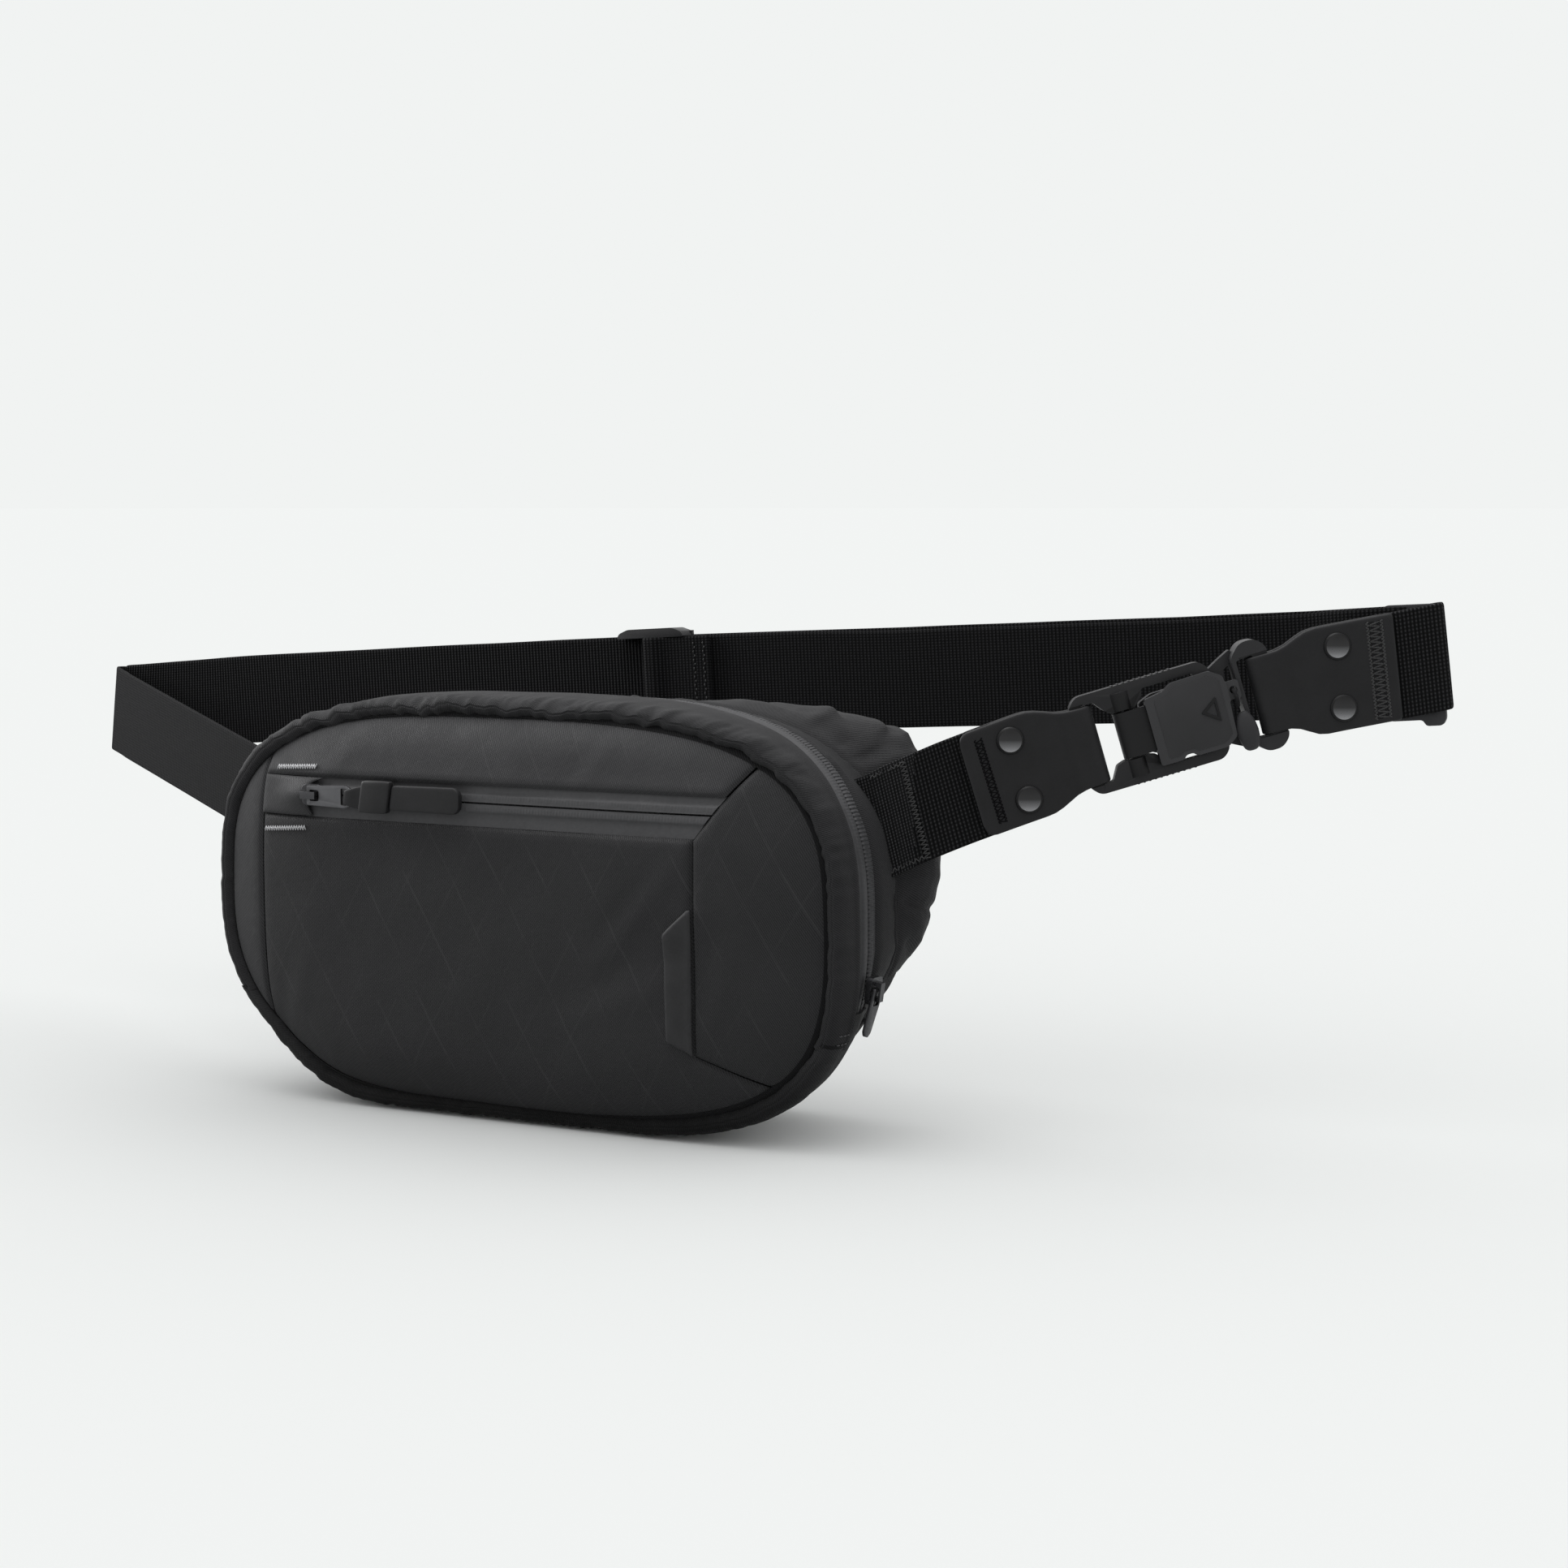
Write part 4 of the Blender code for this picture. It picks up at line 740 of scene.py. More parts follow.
# ============================================================ stitches
def threads(segments, radius):
    """Small rounded threads; each segment is (start, end, up)."""
    # share of the length, share of the radius, lift in diameters
    profile = ((0.0, 0.35, -0.12), (0.2, 0.95, 0.08), (0.5, 1.0, 0.16), (0.8, 0.95, 0.08),
               (1.0, 0.35, -0.12))
    faces = []
    for i in range(4):
        for j in range(6):
            k = (j + 1) % 6
            faces.append((i * 6 + j, i * 6 + k, (i + 1) * 6 + k, (i + 1) * 6 + j))
    faces += [tuple(range(5, -1, -1)), tuple(range(24, 30))]
    parts = []
    for start, end, up in segments:
        start, end = Vector(start), Vector(end)
        along = end - start
        length = along.length
        along.normalize()
        side = along.cross(Vector(up).normalized()).normalized()
        up = side.cross(along).normalized()
        verts = []
        for share, width, lift in profile:
            for j in range(6):
                q = 2 * math.pi * j / 6
                verts.append(start + along * (length * share)
                             + (side * math.cos(q) + up * math.sin(q)) * (radius * width)
                             + up * (lift * radius * 2))
        parts.append((verts, faces))
    return parts


def run_stitch(points, up, pitch, length, radius):
    """Straight stitches along a polyline."""
    steps = [(q - p).length for p, q in zip(points, points[1:])]
    reach = np.concatenate([[0.0], np.cumsum(steps)])

    def at(distance):
        return [np.interp(distance, reach, axis) for axis in zip(*points)]

    segments, d = [], 0.3
    while d + length < reach[-1]:
        segments.append((at(d), at(d + length), up))
        d += pitch
    return threads(segments, radius)


def zigzag(start, end, width, pitch, radius, at, up):
    """Zigzag thread along a line in (u, v); at(u, v) gives the point in space."""
    du, dv = end[0] - start[0], end[1] - start[1]
    length = math.hypot(du, dv)
    du, dv = du / length, dv / length
    points = []
    for i in range(int(length / pitch) + 1):
        side = width / 2 if i % 2 else -width / 2
        points.append(at(start[0] + du * i * pitch - dv * side,
                         start[1] + dv * i * pitch + du * side))
    return threads([(p, q, up) for p, q in zip(points, points[1:])], radius)


def base_seam_stitches():
    """Topstitch over the roll beside both ends of the base piece."""
    insets = [(-37.8, 3.1), (-36.0, 1.0), (-33.8, 0.2), (-29, -0.35), (-26, -0.7)]
    parts = []
    for deg, side in ((RIGHT_END + 1.2, 1), (RIGHT_END + 2.6, 1),
                      (LEFT_END - 1.2, -1), (LEFT_END - 2.6, -1)):
        points = [shell_point(math.radians(deg), y, -0.75, interp(insets, y))
                  for y in np.linspace(-34.5, -25.5, 8)]
        parts += run_stitch(points, (side, 0, -0.2), pitch=2.4, length=1.7, radius=0.2)
    place(join_parts("base_seam_stitches", parts, THREAD_DARK), "front_shell", "gusset_fabric")


base_seam_stitches()


# ============================================================ main zip
def coil_height(v, s, ridge, teeth, pitch=1.3):
    """Raised coil v mm off the parting line, s mm along it. ridge: height, outer edge and
    its fade, inner edge and its fade; teeth: height, outer edge, inner edge."""
    a = abs(v)
    height, outer, outer_fade, inner, inner_fade = ridge
    h = height * smooth01((outer - a) / outer_fade) * smooth01((a - inner) / inner_fade)
    height, outer, inner = teeth
    return h + (height * (0.5 + 0.5 * math.cos(2 * math.pi * s / pitch))
                * smooth01((outer - a) / 0.6) * smooth01((a - inner) / 0.6))


def main_tape(name, sign, mat, body, node):
    rows = []
    for phi, arc in zip(*even_angles(math.radians(RIGHT_END + 0.4),
                                     math.radians(LEFT_END - 0.4), 1150)):
        line, row = zip_y(phi), []
        for v in (0.28, 0.5, 0.8, 1.2, 1.7, 2.2, 2.8, 3.3, 3.7, 4.1, 4.6, 5.2, 6.2):
            y = line + sign * v
            h = coil_height(v, arc, (0.85, 4.2, 0.9, 0.15, 0.5), (0.22, 3.6, 1.0)) - 1.0
            row.append((*shell_point(phi, y, -h, side_inset(y)),
                        *shell_point(phi, y, 2.0, side_inset(y)), arc * MM, v * MM))
        rows.append(row)
    place(grid_solid(name, rows, mat, angle=60), body, "zip_tape", node)


main_tape("main_zip_front", -1, COATED_TAPE, "front_shell", "main_zip_tape_front")
main_tape("main_zip_rear", 1, COATED_COIL, "bag_rear", "main_zip_tape_rear")


def end_patch_path(phi):
    return [(y, -0.35) for y in (-25.2, -24.4, -22, -20, -18.6, -17.4, -16, -14, -11.6, -10.8)]


def end_patch_push(arc, k, phi, y):
    return 0.25 * wobble(arc * 0.2, y * 0.2, 5.0) - (0.6 if k in (0, 9) else 0.0)


# fabric patch over the lower end of the zip, both sides
for side_name, deg0, deg1 in (("right", RIGHT_END - 0.3, RIGHT_END + 5.2),
                              ("left", LEFT_END - 5.2, LEFT_END + 0.3)):
    bridge(strip("zip_end_patch_" + side_name, deg0, deg1, 16, end_patch_path, GUSSET_FABRIC,
                 end_patch_push, thick=0.8, off=0.55),
           "gusset_fabric", FRONT_TO_REAR, ((0, -0.025, 0.02), (0, -0.011, 0.02)))


# ============================================================ flat outlines
def inside(poly, p):
    within = False
    for i in range(len(poly)):
        x1, y1 = poly[i]
        x2, y2 = poly[(i + 1) % len(poly)]
        if (y1 > p[1]) != (y2 > p[1]) and p[0] < (x2 - x1) * (p[1] - y1) / (y2 - y1) + x1:
            within = not within
    return within


def edge_dist(arr, p):
    """Distance from p to the closed polygon arr (n, 2)."""
    d = np.roll(arr, -1, axis=0) - arr
    t = np.clip(((np.array(p) - arr) * d).sum(1) / ((d * d).sum(1) + 1e-12), 0, 1)
    q = arr + d * t[:, None] - np.array(p)
    return float(np.sqrt((q * q).sum(1)).min())


def resample(poly, step):
    out = []
    for p, q in zip(poly, poly[1:] + poly[:1]):
        k = max(1, int(round(math.hypot(q[0] - p[0], q[1] - p[1]) / step)))
        out += [(p[0] + (q[0] - p[0]) * j / k, p[1] + (q[1] - p[1]) * j / k)
                for j in range(k)]
    return out


def ccw(poly):
    """The outline, turned to run counter-clockwise."""
    area = sum(p[0] * q[1] - q[0] * p[1] for p, q in zip(poly, poly[1:] + poly[:1]))
    return poly[::-1] if area < 0 else poly


def staggered(outline, x0, x1, z0, z1, dx, dz, clearance):
    """Offset rows of points inside an outline, clear of its edge."""
    arr = np.array(outline)
    points, row, z = [], 0, z0
    while z < z1:
        x = x0 + (0.5 if row % 2 else 0.0) * dx
        while x < x1:
            if inside(outline, (x, z)) and edge_dist(arr, (x, z)) > clearance:
                points.append((x, z))
            x += dx
        z += dz
        row += 1
    return points


def triangulate(outline, holes=(), extra=()):
    """Corners and triangles of an outline less its holes, with extra inner points."""
    points, edges = [], []
    for ring in (outline, *holes):
        o = len(points)
        points += ring
        edges += [(o + i, o + (i + 1) % len(ring)) for i in range(len(ring))]
    points += extra
    corners, _, faces, *_ = delaunay_2d_cdt([Vector(p) for p in points], edges, [], 1, 1e-6)
    kept = []
    for face in faces:
        c = (sum(corners[i].x for i in face) / len(face),
             sum(corners[i].y for i in face) / len(face))
        if inside(outline, c) and not any(inside(hole, c) for hole in holes):
            kept.append(tuple(face))
    return corners, kept


def slab(name, top, bottom, triangles, mat, angle):
    """Closed body between two copies of a triangulation; spare points are left out."""
    n = len(top)
    edges = [(f[i], f[(i + 1) % len(f)]) for f in triangles for i in range(len(f))]
    known = set(edges)
    faces = triangles + [tuple(i + n for i in reversed(f)) for f in triangles]
    faces += [(b, a, a + n, b + n) for a, b in edges if (b, a) not in known]
    verts = top + bottom
    used = sorted({i for f in faces for i in f})
    index = {old: new for new, old in enumerate(used)}
    return new_obj(name, [verts[i] for i in used], [tuple(index[i] for i in f) for f in faces],
                   mat, angle=angle)


# ============================================================ front panels
# drag folds of the front: centre x, centre z, angle, length, width, depth
DRAG_FOLDS = ((58, 3, 0.85, 30, 4.0, 0.55), (48, -28, 0.35, 34, 6.0, 0.45),
              (-96, -40, 1.25, 30, 5.0, 0.45), (100, 8, -1.2, 26, 4.5, 0.5),
              (92, -22, 1.25, 28, 5, 0.45), (-10, 58, -0.75, 24, 5.0, 0.5),
              (40, 56, 0.9, 20, 4.0, 0.35), (-70, 58, 0.8, 20, 5, 0.4),
              (101, 30, -0.9, 20, 4, 0.5))


def seam_radius(phi, inset=0.0):
    return (superellipse(phi, SEAM_W - inset, SEAM_H - inset, SEAM_POWER)
            - tuck(phi, -34.0))


def front_y(x, z):
    """Smooth dome of the front face."""
    r = math.hypot(x, z) / seam_radius(math.atan2(z, x))
    return -36.0 - 9.6 * (1 - min(r, 1.0) ** 7)


def panel_y(x, z):
    """Front face with soft undulation and drag folds."""
    y = front_y(x, z)
    y -= 0.75 * wobble(x * 0.020, z * 0.028, 2.0) + 0.30 * wobble(x * 0.055, z * 0.05, 6.0)
    for cx, cz, angle, length, width, depth in DRAG_FOLDS:
        c, s = math.cos(angle), math.sin(angle)
        u = ((x - cx) * c + (z - cz) * s) / length
        w = (-(x - cx) * s + (z - cz) * c) / width
        if abs(u) < 1.6 and abs(w) < 2.5:
            y -= depth * math.exp(-u * u * 1.5) * (bell(w, 0.0, 1.0) - 0.5 * bell(w, 1.4, 1.0))
    return y


def top_panel_y(x, z):
    """The top panel stands proud along the pocket zip."""
    return panel_y(x, z) - 1.0 * bell(z, POCKET_TOP, 5.0)


def panel(name, outline, mat, surface, step=3.0, edge=2.0, offsets=(0.45, 1.0, 1.9),
          roll=1.2, roll_width=2.1, thick=0.9):
    """Closed fabric panel over a flat outline, its edges turned back by roll mm."""
    outline = ccw(resample(outline, edge))
    arr = np.array(outline)
    n = len(outline)
    normals = []
    for i in range(n):
        t = arr[(i + 1) % n] - arr[i - 1]
        t = t / (np.linalg.norm(t) + 1e-9)
        normals.append((-t[1], t[0]))
    extra = []
    for o in offsets:
        for p, normal in zip(outline, normals):
            q = (p[0] + normal[0] * o, p[1] + normal[1] * o)
            if edge_dist(arr, q) > o * 0.93 and inside(outline, q):
                extra.append(q)
    x0, z0 = arr.min(0)
    x1, z1 = arr.max(0)
    extra += staggered(outline, x0, x1, z0 + step * 0.4, z1, step, step * 0.87,
                       offsets[-1] + step * 0.55)
    corners, triangles = triangulate(outline, extra=extra)
    top, bottom = [], []
    for x, z in corners:
        y = surface(x, z)
        turn = 1 - smooth01(edge_dist(arr, (x, z)) / roll_width)
        top.append((x, y + roll * turn * turn, z))
        bottom.append((x, y + roll + thick, z))
    return slab(name, top, bottom, triangles, mat, angle=50)


def seam_point(phi):
    r = seam_radius(phi)
    return (r * math.cos(phi), r * math.sin(phi))


def seam_arc(start, end):
    """Seam outline from one point to another, in steps of about 2 mm."""
    a0, a1 = math.atan2(start[1], start[0]), math.atan2(end[1], end[0])
    if a1 < a0:
        a1 += 2 * math.pi
    n = max(2, int((a1 - a0) * 105 / 2.0))
    return [seam_point(a0 + (a1 - a0) * i / n) for i in range(n + 1)]


def left_seam_foot():
    """z where the left panel seam meets the front seam, by bisection."""
    low, high = math.pi, 1.5 * math.pi
    for _ in range(40):
        middle = (low + high) / 2
        if seam_point(middle)[0] < LEFT_X:
            low = middle
        else:
            high = middle
    return seam_point(low)[1]


GAP = 0.12      # half gap between neighbouring panels
LEFT_TOP, LEFT_FOOT = 54.6, left_seam_foot()
MAIN_OUTLINE = (
    [(LEFT_X + GAP, POCKET_LOW - GAP), (LEFT_X + GAP, LEFT_FOOT + .2)]
    + seam_arc((LEFT_X + .6, LEFT_FOOT - .3), (110.7, -55.4))
    + [(81.8, -44.9), (81.5, POCKET_LOW - GAP)])
TOP_OUTLINE = ([(LEFT_X + GAP, POCKET_TOP + GAP), (93.4, POCKET_TOP + GAP)]
               + seam_arc((103.8, 59.4), (LEFT_X + .6, LEFT_TOP + .3)))
LEFT_OUTLINE = (seam_arc((LEFT_X - .3, LEFT_TOP - .15), (LEFT_X - .3, LEFT_FOOT + .15))
                + [(LEFT_X - GAP, LEFT_FOOT + .5), (LEFT_X - GAP, LEFT_TOP - .5)])
RIGHT_OUTLINE = (seam_arc((111.4, -54.7), (104.7, 58.8))
                 + [(93.8, POCKET_TOP - .3), (81.9, POCKET_LOW - .5), (82.1, -44.6)])
# the main and right panels take the shaded laminate copy as painted shade
for part, outline, mat, surface in (
        ("main", MAIN_OUTLINE, LAMINATE_SHADED, panel_y),
        ("top", TOP_OUTLINE, LAMINATE, top_panel_y),
        ("left", LEFT_OUTLINE, LAMINATE, lambda x, z: panel_y(x, z) - 0.3),
        ("right", RIGHT_OUTLINE, LAMINATE_SHADED, lambda x, z: panel_y(x, z) - 0.35)):
    place(panel("front_%s_skin" % part, outline, mat, surface),
          "front_shell", "body_fabric", "front_panel_" + part)


def pocket_tape(name, sign, mat, node):
    """Half of the pocket zip; its right end slants."""
    across = [0.22, 0.45, 0.8, 1.2, 1.7, 2.2, 2.7, 3.1, 3.5, 4.0, 4.8, 5.6, 6.6]
    if sign < 0:
        across += [7.6, 8.55]
    rows = []
    for t in np.linspace(0, 1, 430):
        row = []
        for v in across:
            z = POCKET_LINE + sign * v
            right = 81.8 + (z - POCKET_LOW) * (93.5 - 81.8) / (POCKET_TOP - POCKET_LOW)
            x = -89.5 + (right + 89.5) * t
            h = coil_height(v, x, (0.75, 3.9, 0.8, 0.1, 0.35), (0.20, 3.3, 0.9))
            y = front_y(x, z)
            row.append((x, y + 1.15 - h, z, x, y + 2.4, z, x * MM, v * MM))
        rows.append(row)
    place(grid_solid(name, rows, mat, angle=60), "front_shell", "zip_tape", node)


pocket_tape("pocket_zip_upper", 1, POCKET_TAPE_UPPER, "pocket_zip_tape_upper")
pocket_tape("pocket_zip_lower", -1, POCKET_TAPE_LOWER, "pocket_zip_tape_lower")

# x, z of the zip garage, with a rounded notch for the slider
GARAGE_OUTLINE = [
    (LEFT_X + GAP, POCKET_LOW + GAP), (-85.4, POCKET_LOW + GAP), (-86.4, 35.0), (-87.2, 37.4),
    (-87.5, 39.6), (-87.3, 41.6), (-86.4, 43.6), (-84.6, 45.2), (-82.0, 46.3),
    (-80.6, POCKET_TOP - GAP), (LEFT_X + GAP, POCKET_TOP - GAP)]


def garage_y(x, z):
    """Proud over the end of the zip, flat at the left."""
    return (panel_y(x, z) - 0.5
            - 3.6 * (smooth01((x + 106.0) / 17.0) * bell(z, POCKET_LINE, 4.6)))


place(panel("zip_garage_skin", GARAGE_OUTLINE, LAMINATE, garage_y, step=1.9, edge=1.0,
            offsets=(0.4, 0.9), roll_width=1.0, roll=0.55, thick=0.7),
      "front_shell", "body_fabric", "zip_garage")


def seam_ring(name, section):
    """Dark ring in the front seam, painted shade in the groove; section(phi) lists (radius, outer
    y, inner y).
    """
    rows = []
    for phi in even_angles(0, 2 * math.pi, 260)[0][:-1]:
        c, s = math.cos(phi), math.sin(phi)
        rows.append([(r * c, outer, r * s, r * c, inner, r * s)
                     for r, outer, inner in section(phi)])
    place(grid_solid(name, rows, SEAM_SHADOW, closed=True), "front_shell", "gusset_fabric")


def welt_section(phi):
    """Flat welt behind the groove, dark as painted shade in the groove."""
    return [(seam_radius(phi, 3.0), -33.4, -32.2), (seam_radius(phi, 0.8), -33.2, -32.2)]


def groove_shadow_section(phi):
    """Dark band painted as the shadow in the groove between the front panels and the roll, wider
    on the right.
    """
    c, s = math.cos(phi), math.sin(phi)
    seam = seam_radius(phi)
    width = 0.9 + 1.1 * smooth01((c - 0.25) / 0.5)
    inner = [(r, panel_y(r * c, r * s) - 0.22, -34.0)
             for r in (seam - width, seam - width * 0.5, seam)]
    return inner + [(seam + o, y, -34.0) for o, y in ((0.6, -35.8), (1.1, -35.3), (1.5, -34.9))]


seam_ring("front_seam_welt", welt_section)
seam_ring("front_seam_cord", groove_shadow_section)

# x, z of the rubber label let into the right panel seam
LABEL_OUTLINE = [(81.4, 7.3), (80.0, 7.2), (71.0, -1.4), (70.5, -2.7), (71.3, -39.2),
                 (72.0, -40.4), (81.5, -44.4)]


def label_y(x, z):
    """The free left edge stands off the panel, most at the top corner."""
    free = smooth01((80.5 - x) / 9.0)
    return panel_y(x, z) - 1.5 - free * (0.5 + 1.1 * smooth01((z + 14.0) / 14.0))


place(panel("side_label_tab", LABEL_OUTLINE, LABEL_RUBBER, label_y, step=2.2, edge=1.1,
            offsets=(0.3, 0.7, 1.3), roll=0.85, roll_width=1.1, thick=0.2),
      "front_shell", "rubberised_tab", "side_label")


def bar_tack(name, start, end, surface, node):
    """Dense zigzag with a narrow second row over it."""
    parts = []
    for rise, width, pitch, radius, lift in ((0.0, 1.9, 0.62, 0.22, 0.25),
                                             (0.1, 0.5, 1.1, 0.18, 0.5)):
        parts += zigzag((start[0], start[1] + rise), (end[0], end[1] + rise), width, pitch,
                        radius, lambda x, z: (x, surface(x, z) - 0.25 - lift, z), (0, -1, 0))
    place(join_parts(name, parts, THREAD_LIGHT), "front_shell", "grey_thread", node)


bar_tack("bartack_upper_thread", (-104.4, 49.9), (-83.6, 51.0), top_panel_y, "bartack_upper")
bar_tack("bartack_lower_thread", (-109.3, 26.4), (-87.8, 27.9), panel_y, "bartack_lower")


# ============================================================ mouldings
class Frame:
    """Local axes a, b and normal n about an origin."""

    def __init__(self, origin, a, b, n):
        self.origin = Vector(origin)
        self.a, self.b, self.n = (Vector(axis).normalized() for axis in (a, b, n))

    def at(self, a, b, n):
        return self.origin + self.a * a + self.b * b + self.n * n

    def local(self, point):
        offset = point - self.origin
        return offset.dot(self.a), offset.dot(self.b), offset.dot(self.n)


def plate(name, fr, outline, n0, n1, mat, holes=()):
    """Flat moulding with straight sides from n0 to n1."""
    outline = ccw(outline)
    if holes:
        corners, triangles = triangulate(outline, holes)
        return slab(name, [fr.at(p.x, p.y, n1) for p in corners],
                    [fr.at(p.x, p.y, n0) for p in corners], triangles, mat, angle=30)
    n = len(outline)
    verts = [fr.at(u, v, level) for level in (n1, n0) for u, v in outline]
    faces = [tuple(range(n)), tuple(range(2 * n - 1, n - 1, -1))]
    faces += [(i, i + n, (i + 1) % n + n, (i + 1) % n) for i in range(n)]
    return new_obj(name, verts, faces, mat, angle=30)


def rounded(outline, r=1.0, seg=4):
    """Outline with every corner rounded."""
    out = []
    n = len(outline)
    for i in range(n):
        before, p, after = (np.array(outline[k], float) for k in (i - 1, i, (i + 1) % n))
        a, b = before - p, after - p
        la, lb = np.linalg.norm(a), np.linalg.norm(b)
        rr = min(r, la * 0.45, lb * 0.45)
        q0, q1 = p + a / la * rr, p + b / lb * rr
        for k in range(seg + 1):
            t = k / seg
            q = (1 - t) ** 2 * q0 + 2 * t * (1 - t) * p + t * t * q1
            out.append((float(q[0]), float(q[1])))
    return out


def box(u0, u1, v0, v1):
    return [(u0, v0), (u1, v0), (u1, v1), (u0, v1)]


def lathe(name, fr, centre, profile, mat, seg=48, axis="n", angle=40):
    """Turned body about the frame's n or b; profile lists (radius, height)."""
    ax, ay, az = (fr.a, fr.b, fr.n) if axis == "n" else (fr.n, fr.a, fr.b)
    origin = fr.at(*centre)
    verts, faces, rows = [], [], []
    for r, h in profile:
        count = 1 if r < 1e-6 else seg
        rows.append(list(range(len(verts), len(verts) + count)))
        if count == 1:
            verts.append(origin + az * h)
            continue
        for i in range(seg):
            t = 2 * math.pi * i / seg
            verts.append(origin + ax * (r * math.cos(t)) + ay * (r * math.sin(t)) + az * h)
    for p, q in zip(rows, rows[1:]):
        for i in range(seg):
            j = (i + 1) % seg
            if len(p) == 1:
                faces.append((p[0], q[i], q[j]))
            elif len(q) == 1:
                faces.append((p[i], p[j], q[0]))
            else:
                faces.append((p[i], p[j], q[j], q[i]))
    return new_obj(name, verts, faces, mat, angle=angle)


CUT, JOIN = "DIFFERENCE", "UNION"
tools = []      # bodies used by pending booleans


def boole(ob, tool, operation):
    modifier = ob.modifiers.new(operation.lower(), "BOOLEAN")
    modifier.operation = operation
    modifier.solver = "EXACT"
    modifier.object = tool
    tools.append(tool)


def block(ob, operation, fr, outline, n0, n1, holes=()):
    """Cut or join a flat block."""
    boole(ob, plate("tool", fr, outline, n0, n1, ob.data.materials[0], holes), operation)


def peg(ob, operation, fr, centre, r, h0, h1, seg=40, axis="b"):
    """Cut or join a round peg."""
    profile = [(0, h0), (r, h0), (r, h1), (0, h1)]
    boole(ob, lathe("tool", fr, centre, profile, ob.data.materials[0], seg, axis), operation)


def finish(ob, width, seg=3):
    """Round the edges, apply everything and settle the shading."""
    modifier = ob.modifiers.new("bevel", "BEVEL")
    modifier.width = width * MM
    modifier.segments = seg
    modifier.limit_method = "ANGLE"
    modifier.angle_limit = math.radians(32)
    modifier.use_clamp_overlap = True
    graph = bpy.context.evaluated_depsgraph_get()
    me = bpy.data.meshes.new_from_object(ob.evaluated_get(graph), depsgraph=graph)
    ob.modifiers.clear()
    ob.data = me
    me.shade_smooth()
    me.set_sharp_from_angle(angle=math.radians(34))
    while tools:
        bpy.data.objects.remove(tools.pop())
    return ob


# ============================================================ straps
# across a strap: position (-1 to 1) and share of the thickness
ACROSS = np.array([-1, -0.988, -0.965, -0.93, -0.86, -0.62, -0.3, 0,
                   0.3, 0.62, 0.86, 0.93, 0.965, 0.988, 1])
FULLNESS = np.array([0.30, 0.70, 0.93, 1.0, 0.98, 0.98, 1.0, 1.0,
                     1.0, 0.98, 0.98, 1.0, 0.93, 0.70, 0.30])


def smooth_path(stations, step):
    """Hermite curve through (centre, across, width) stations: run, points, across, widths."""
    centres = np.array([tuple(s[0]) for s in stations], float)
    across = np.array([tuple(Vector(s[1]).normalized()) for s in stations], float)
    widths = np.array([s[2] for s in stations], float)
    spans = np.linalg.norm(np.diff(centres, axis=0), axis=1)
    t = np.concatenate([[0.0], np.cumsum(spans)])
    slopes = np.zeros_like(centres)
    slopes[1:-1] = (centres[2:] - centres[:-2]) / (t[2:] - t[:-2])[:, None]
    slopes[0] = (centres[1] - centres[0]) / spans[0]
    slopes[-1] = (centres[-1] - centres[-2]) / spans[-1]
    run = np.linspace(0, t[-1], max(4, int(t[-1] / step)) + 1)
    i = np.clip(np.searchsorted(t, run, side="right") - 1, 0, len(spans) - 1)
    share = (run - t[i]) / spans[i]
    h = spans[i][:, None]
    u = share[:, None]
    points = ((2 * u ** 3 - 3 * u ** 2 + 1) * centres[i]
              + (u ** 3 - 2 * u ** 2 + u) * h * slopes[i]
              + (-2 * u ** 3 + 3 * u ** 2) * centres[i + 1]
              + (u ** 3 - u ** 2) * h * slopes[i + 1])
    ease = u * u * (3 - 2 * u)
    sides = across[i] * (1 - ease) + across[i + 1] * ease
    sides /= np.linalg.norm(sides, axis=1)[:, None]
    return run, points, sides, widths[i] * (1 - share) + widths[i + 1] * share


def webbing(name, stations, thick, mat, rib=None, amp=0.0, sub=4, width_at=None, shift=None):
    """Woven strap, or plain sheet without rib. width_at(s, total, width) sets the width,
    shift(point, s) moves the section bodily."""
    run, points, sides, widths = smooth_path(stations, rib / sub if rib else 0.6)
    along = np.gradient(points, run, axis=0)
    along /= np.linalg.norm(along, axis=1)[:, None]
    normals = np.cross(along, sides)
    normals /= np.linalg.norm(normals, axis=1)[:, None]
    if width_at is not None:
        widths = np.array([width_at(s, run[-1], w) for s, w in zip(run, widths)])
    if shift is not None:
        points = points + np.array([shift(p, s) for p, s in zip(points, run)])
    ripple = amp * np.sin(2 * math.pi * run / rib) if rib else np.zeros_like(run)
    cells = np.zeros((len(run), len(ACROSS), 8))
    for j, (t, fullness) in enumerate(zip(ACROSS, FULLNESS)):
        x = (t * widths / 2)[:, None]
        fade = min(1.0, (1 - abs(t)) / 0.08)
        front = (thick / 2 * fullness + ripple * fade)[:, None]
        back = (thick / 2 * fullness - ripple * fade * 0.6)[:, None]
        cells[:, j, 0:3] = points + sides * x + normals * front
        cells[:, j, 3:6] = points + sides * x - normals * back
        cells[:, j, 6] = run * MM
        cells[:, j, 7] = t * widths / 2 * MM
    return grid_solid(name, cells, mat, angle=70)


# ============================================================ belt on the right
# The belt leaves the right seam along E; s runs along it, b up across it and n outwards.
CHAIN_X, CHAIN_Y = 136.1, 1.3
WEB_W, WEB_T = 38.0, 1.3
TAB_T, TAB_OUT, TAB_BAR = 1.8, 2.0, 2.6     # sheet, its offset from the belt, and at the bar
HEADING = math.radians(33.0)
E = Vector((math.cos(HEADING), math.sin(HEADING), 0))
N = Vector((math.sin(HEADING), -math.cos(HEADING), 0))
UP = Vector((0, 0, 1))
ORIGIN = Vector((CHAIN_X, CHAIN_Y, 0))
# s, height, slope
CHAIN = [(-8.0, 34.6, .42), (28.0, 49.4, .365), (73.6, 64.9, .292), (128.6, 81.0, .292),
         (178.6, 91.7, .195), (200.0, 95.8, .19)]
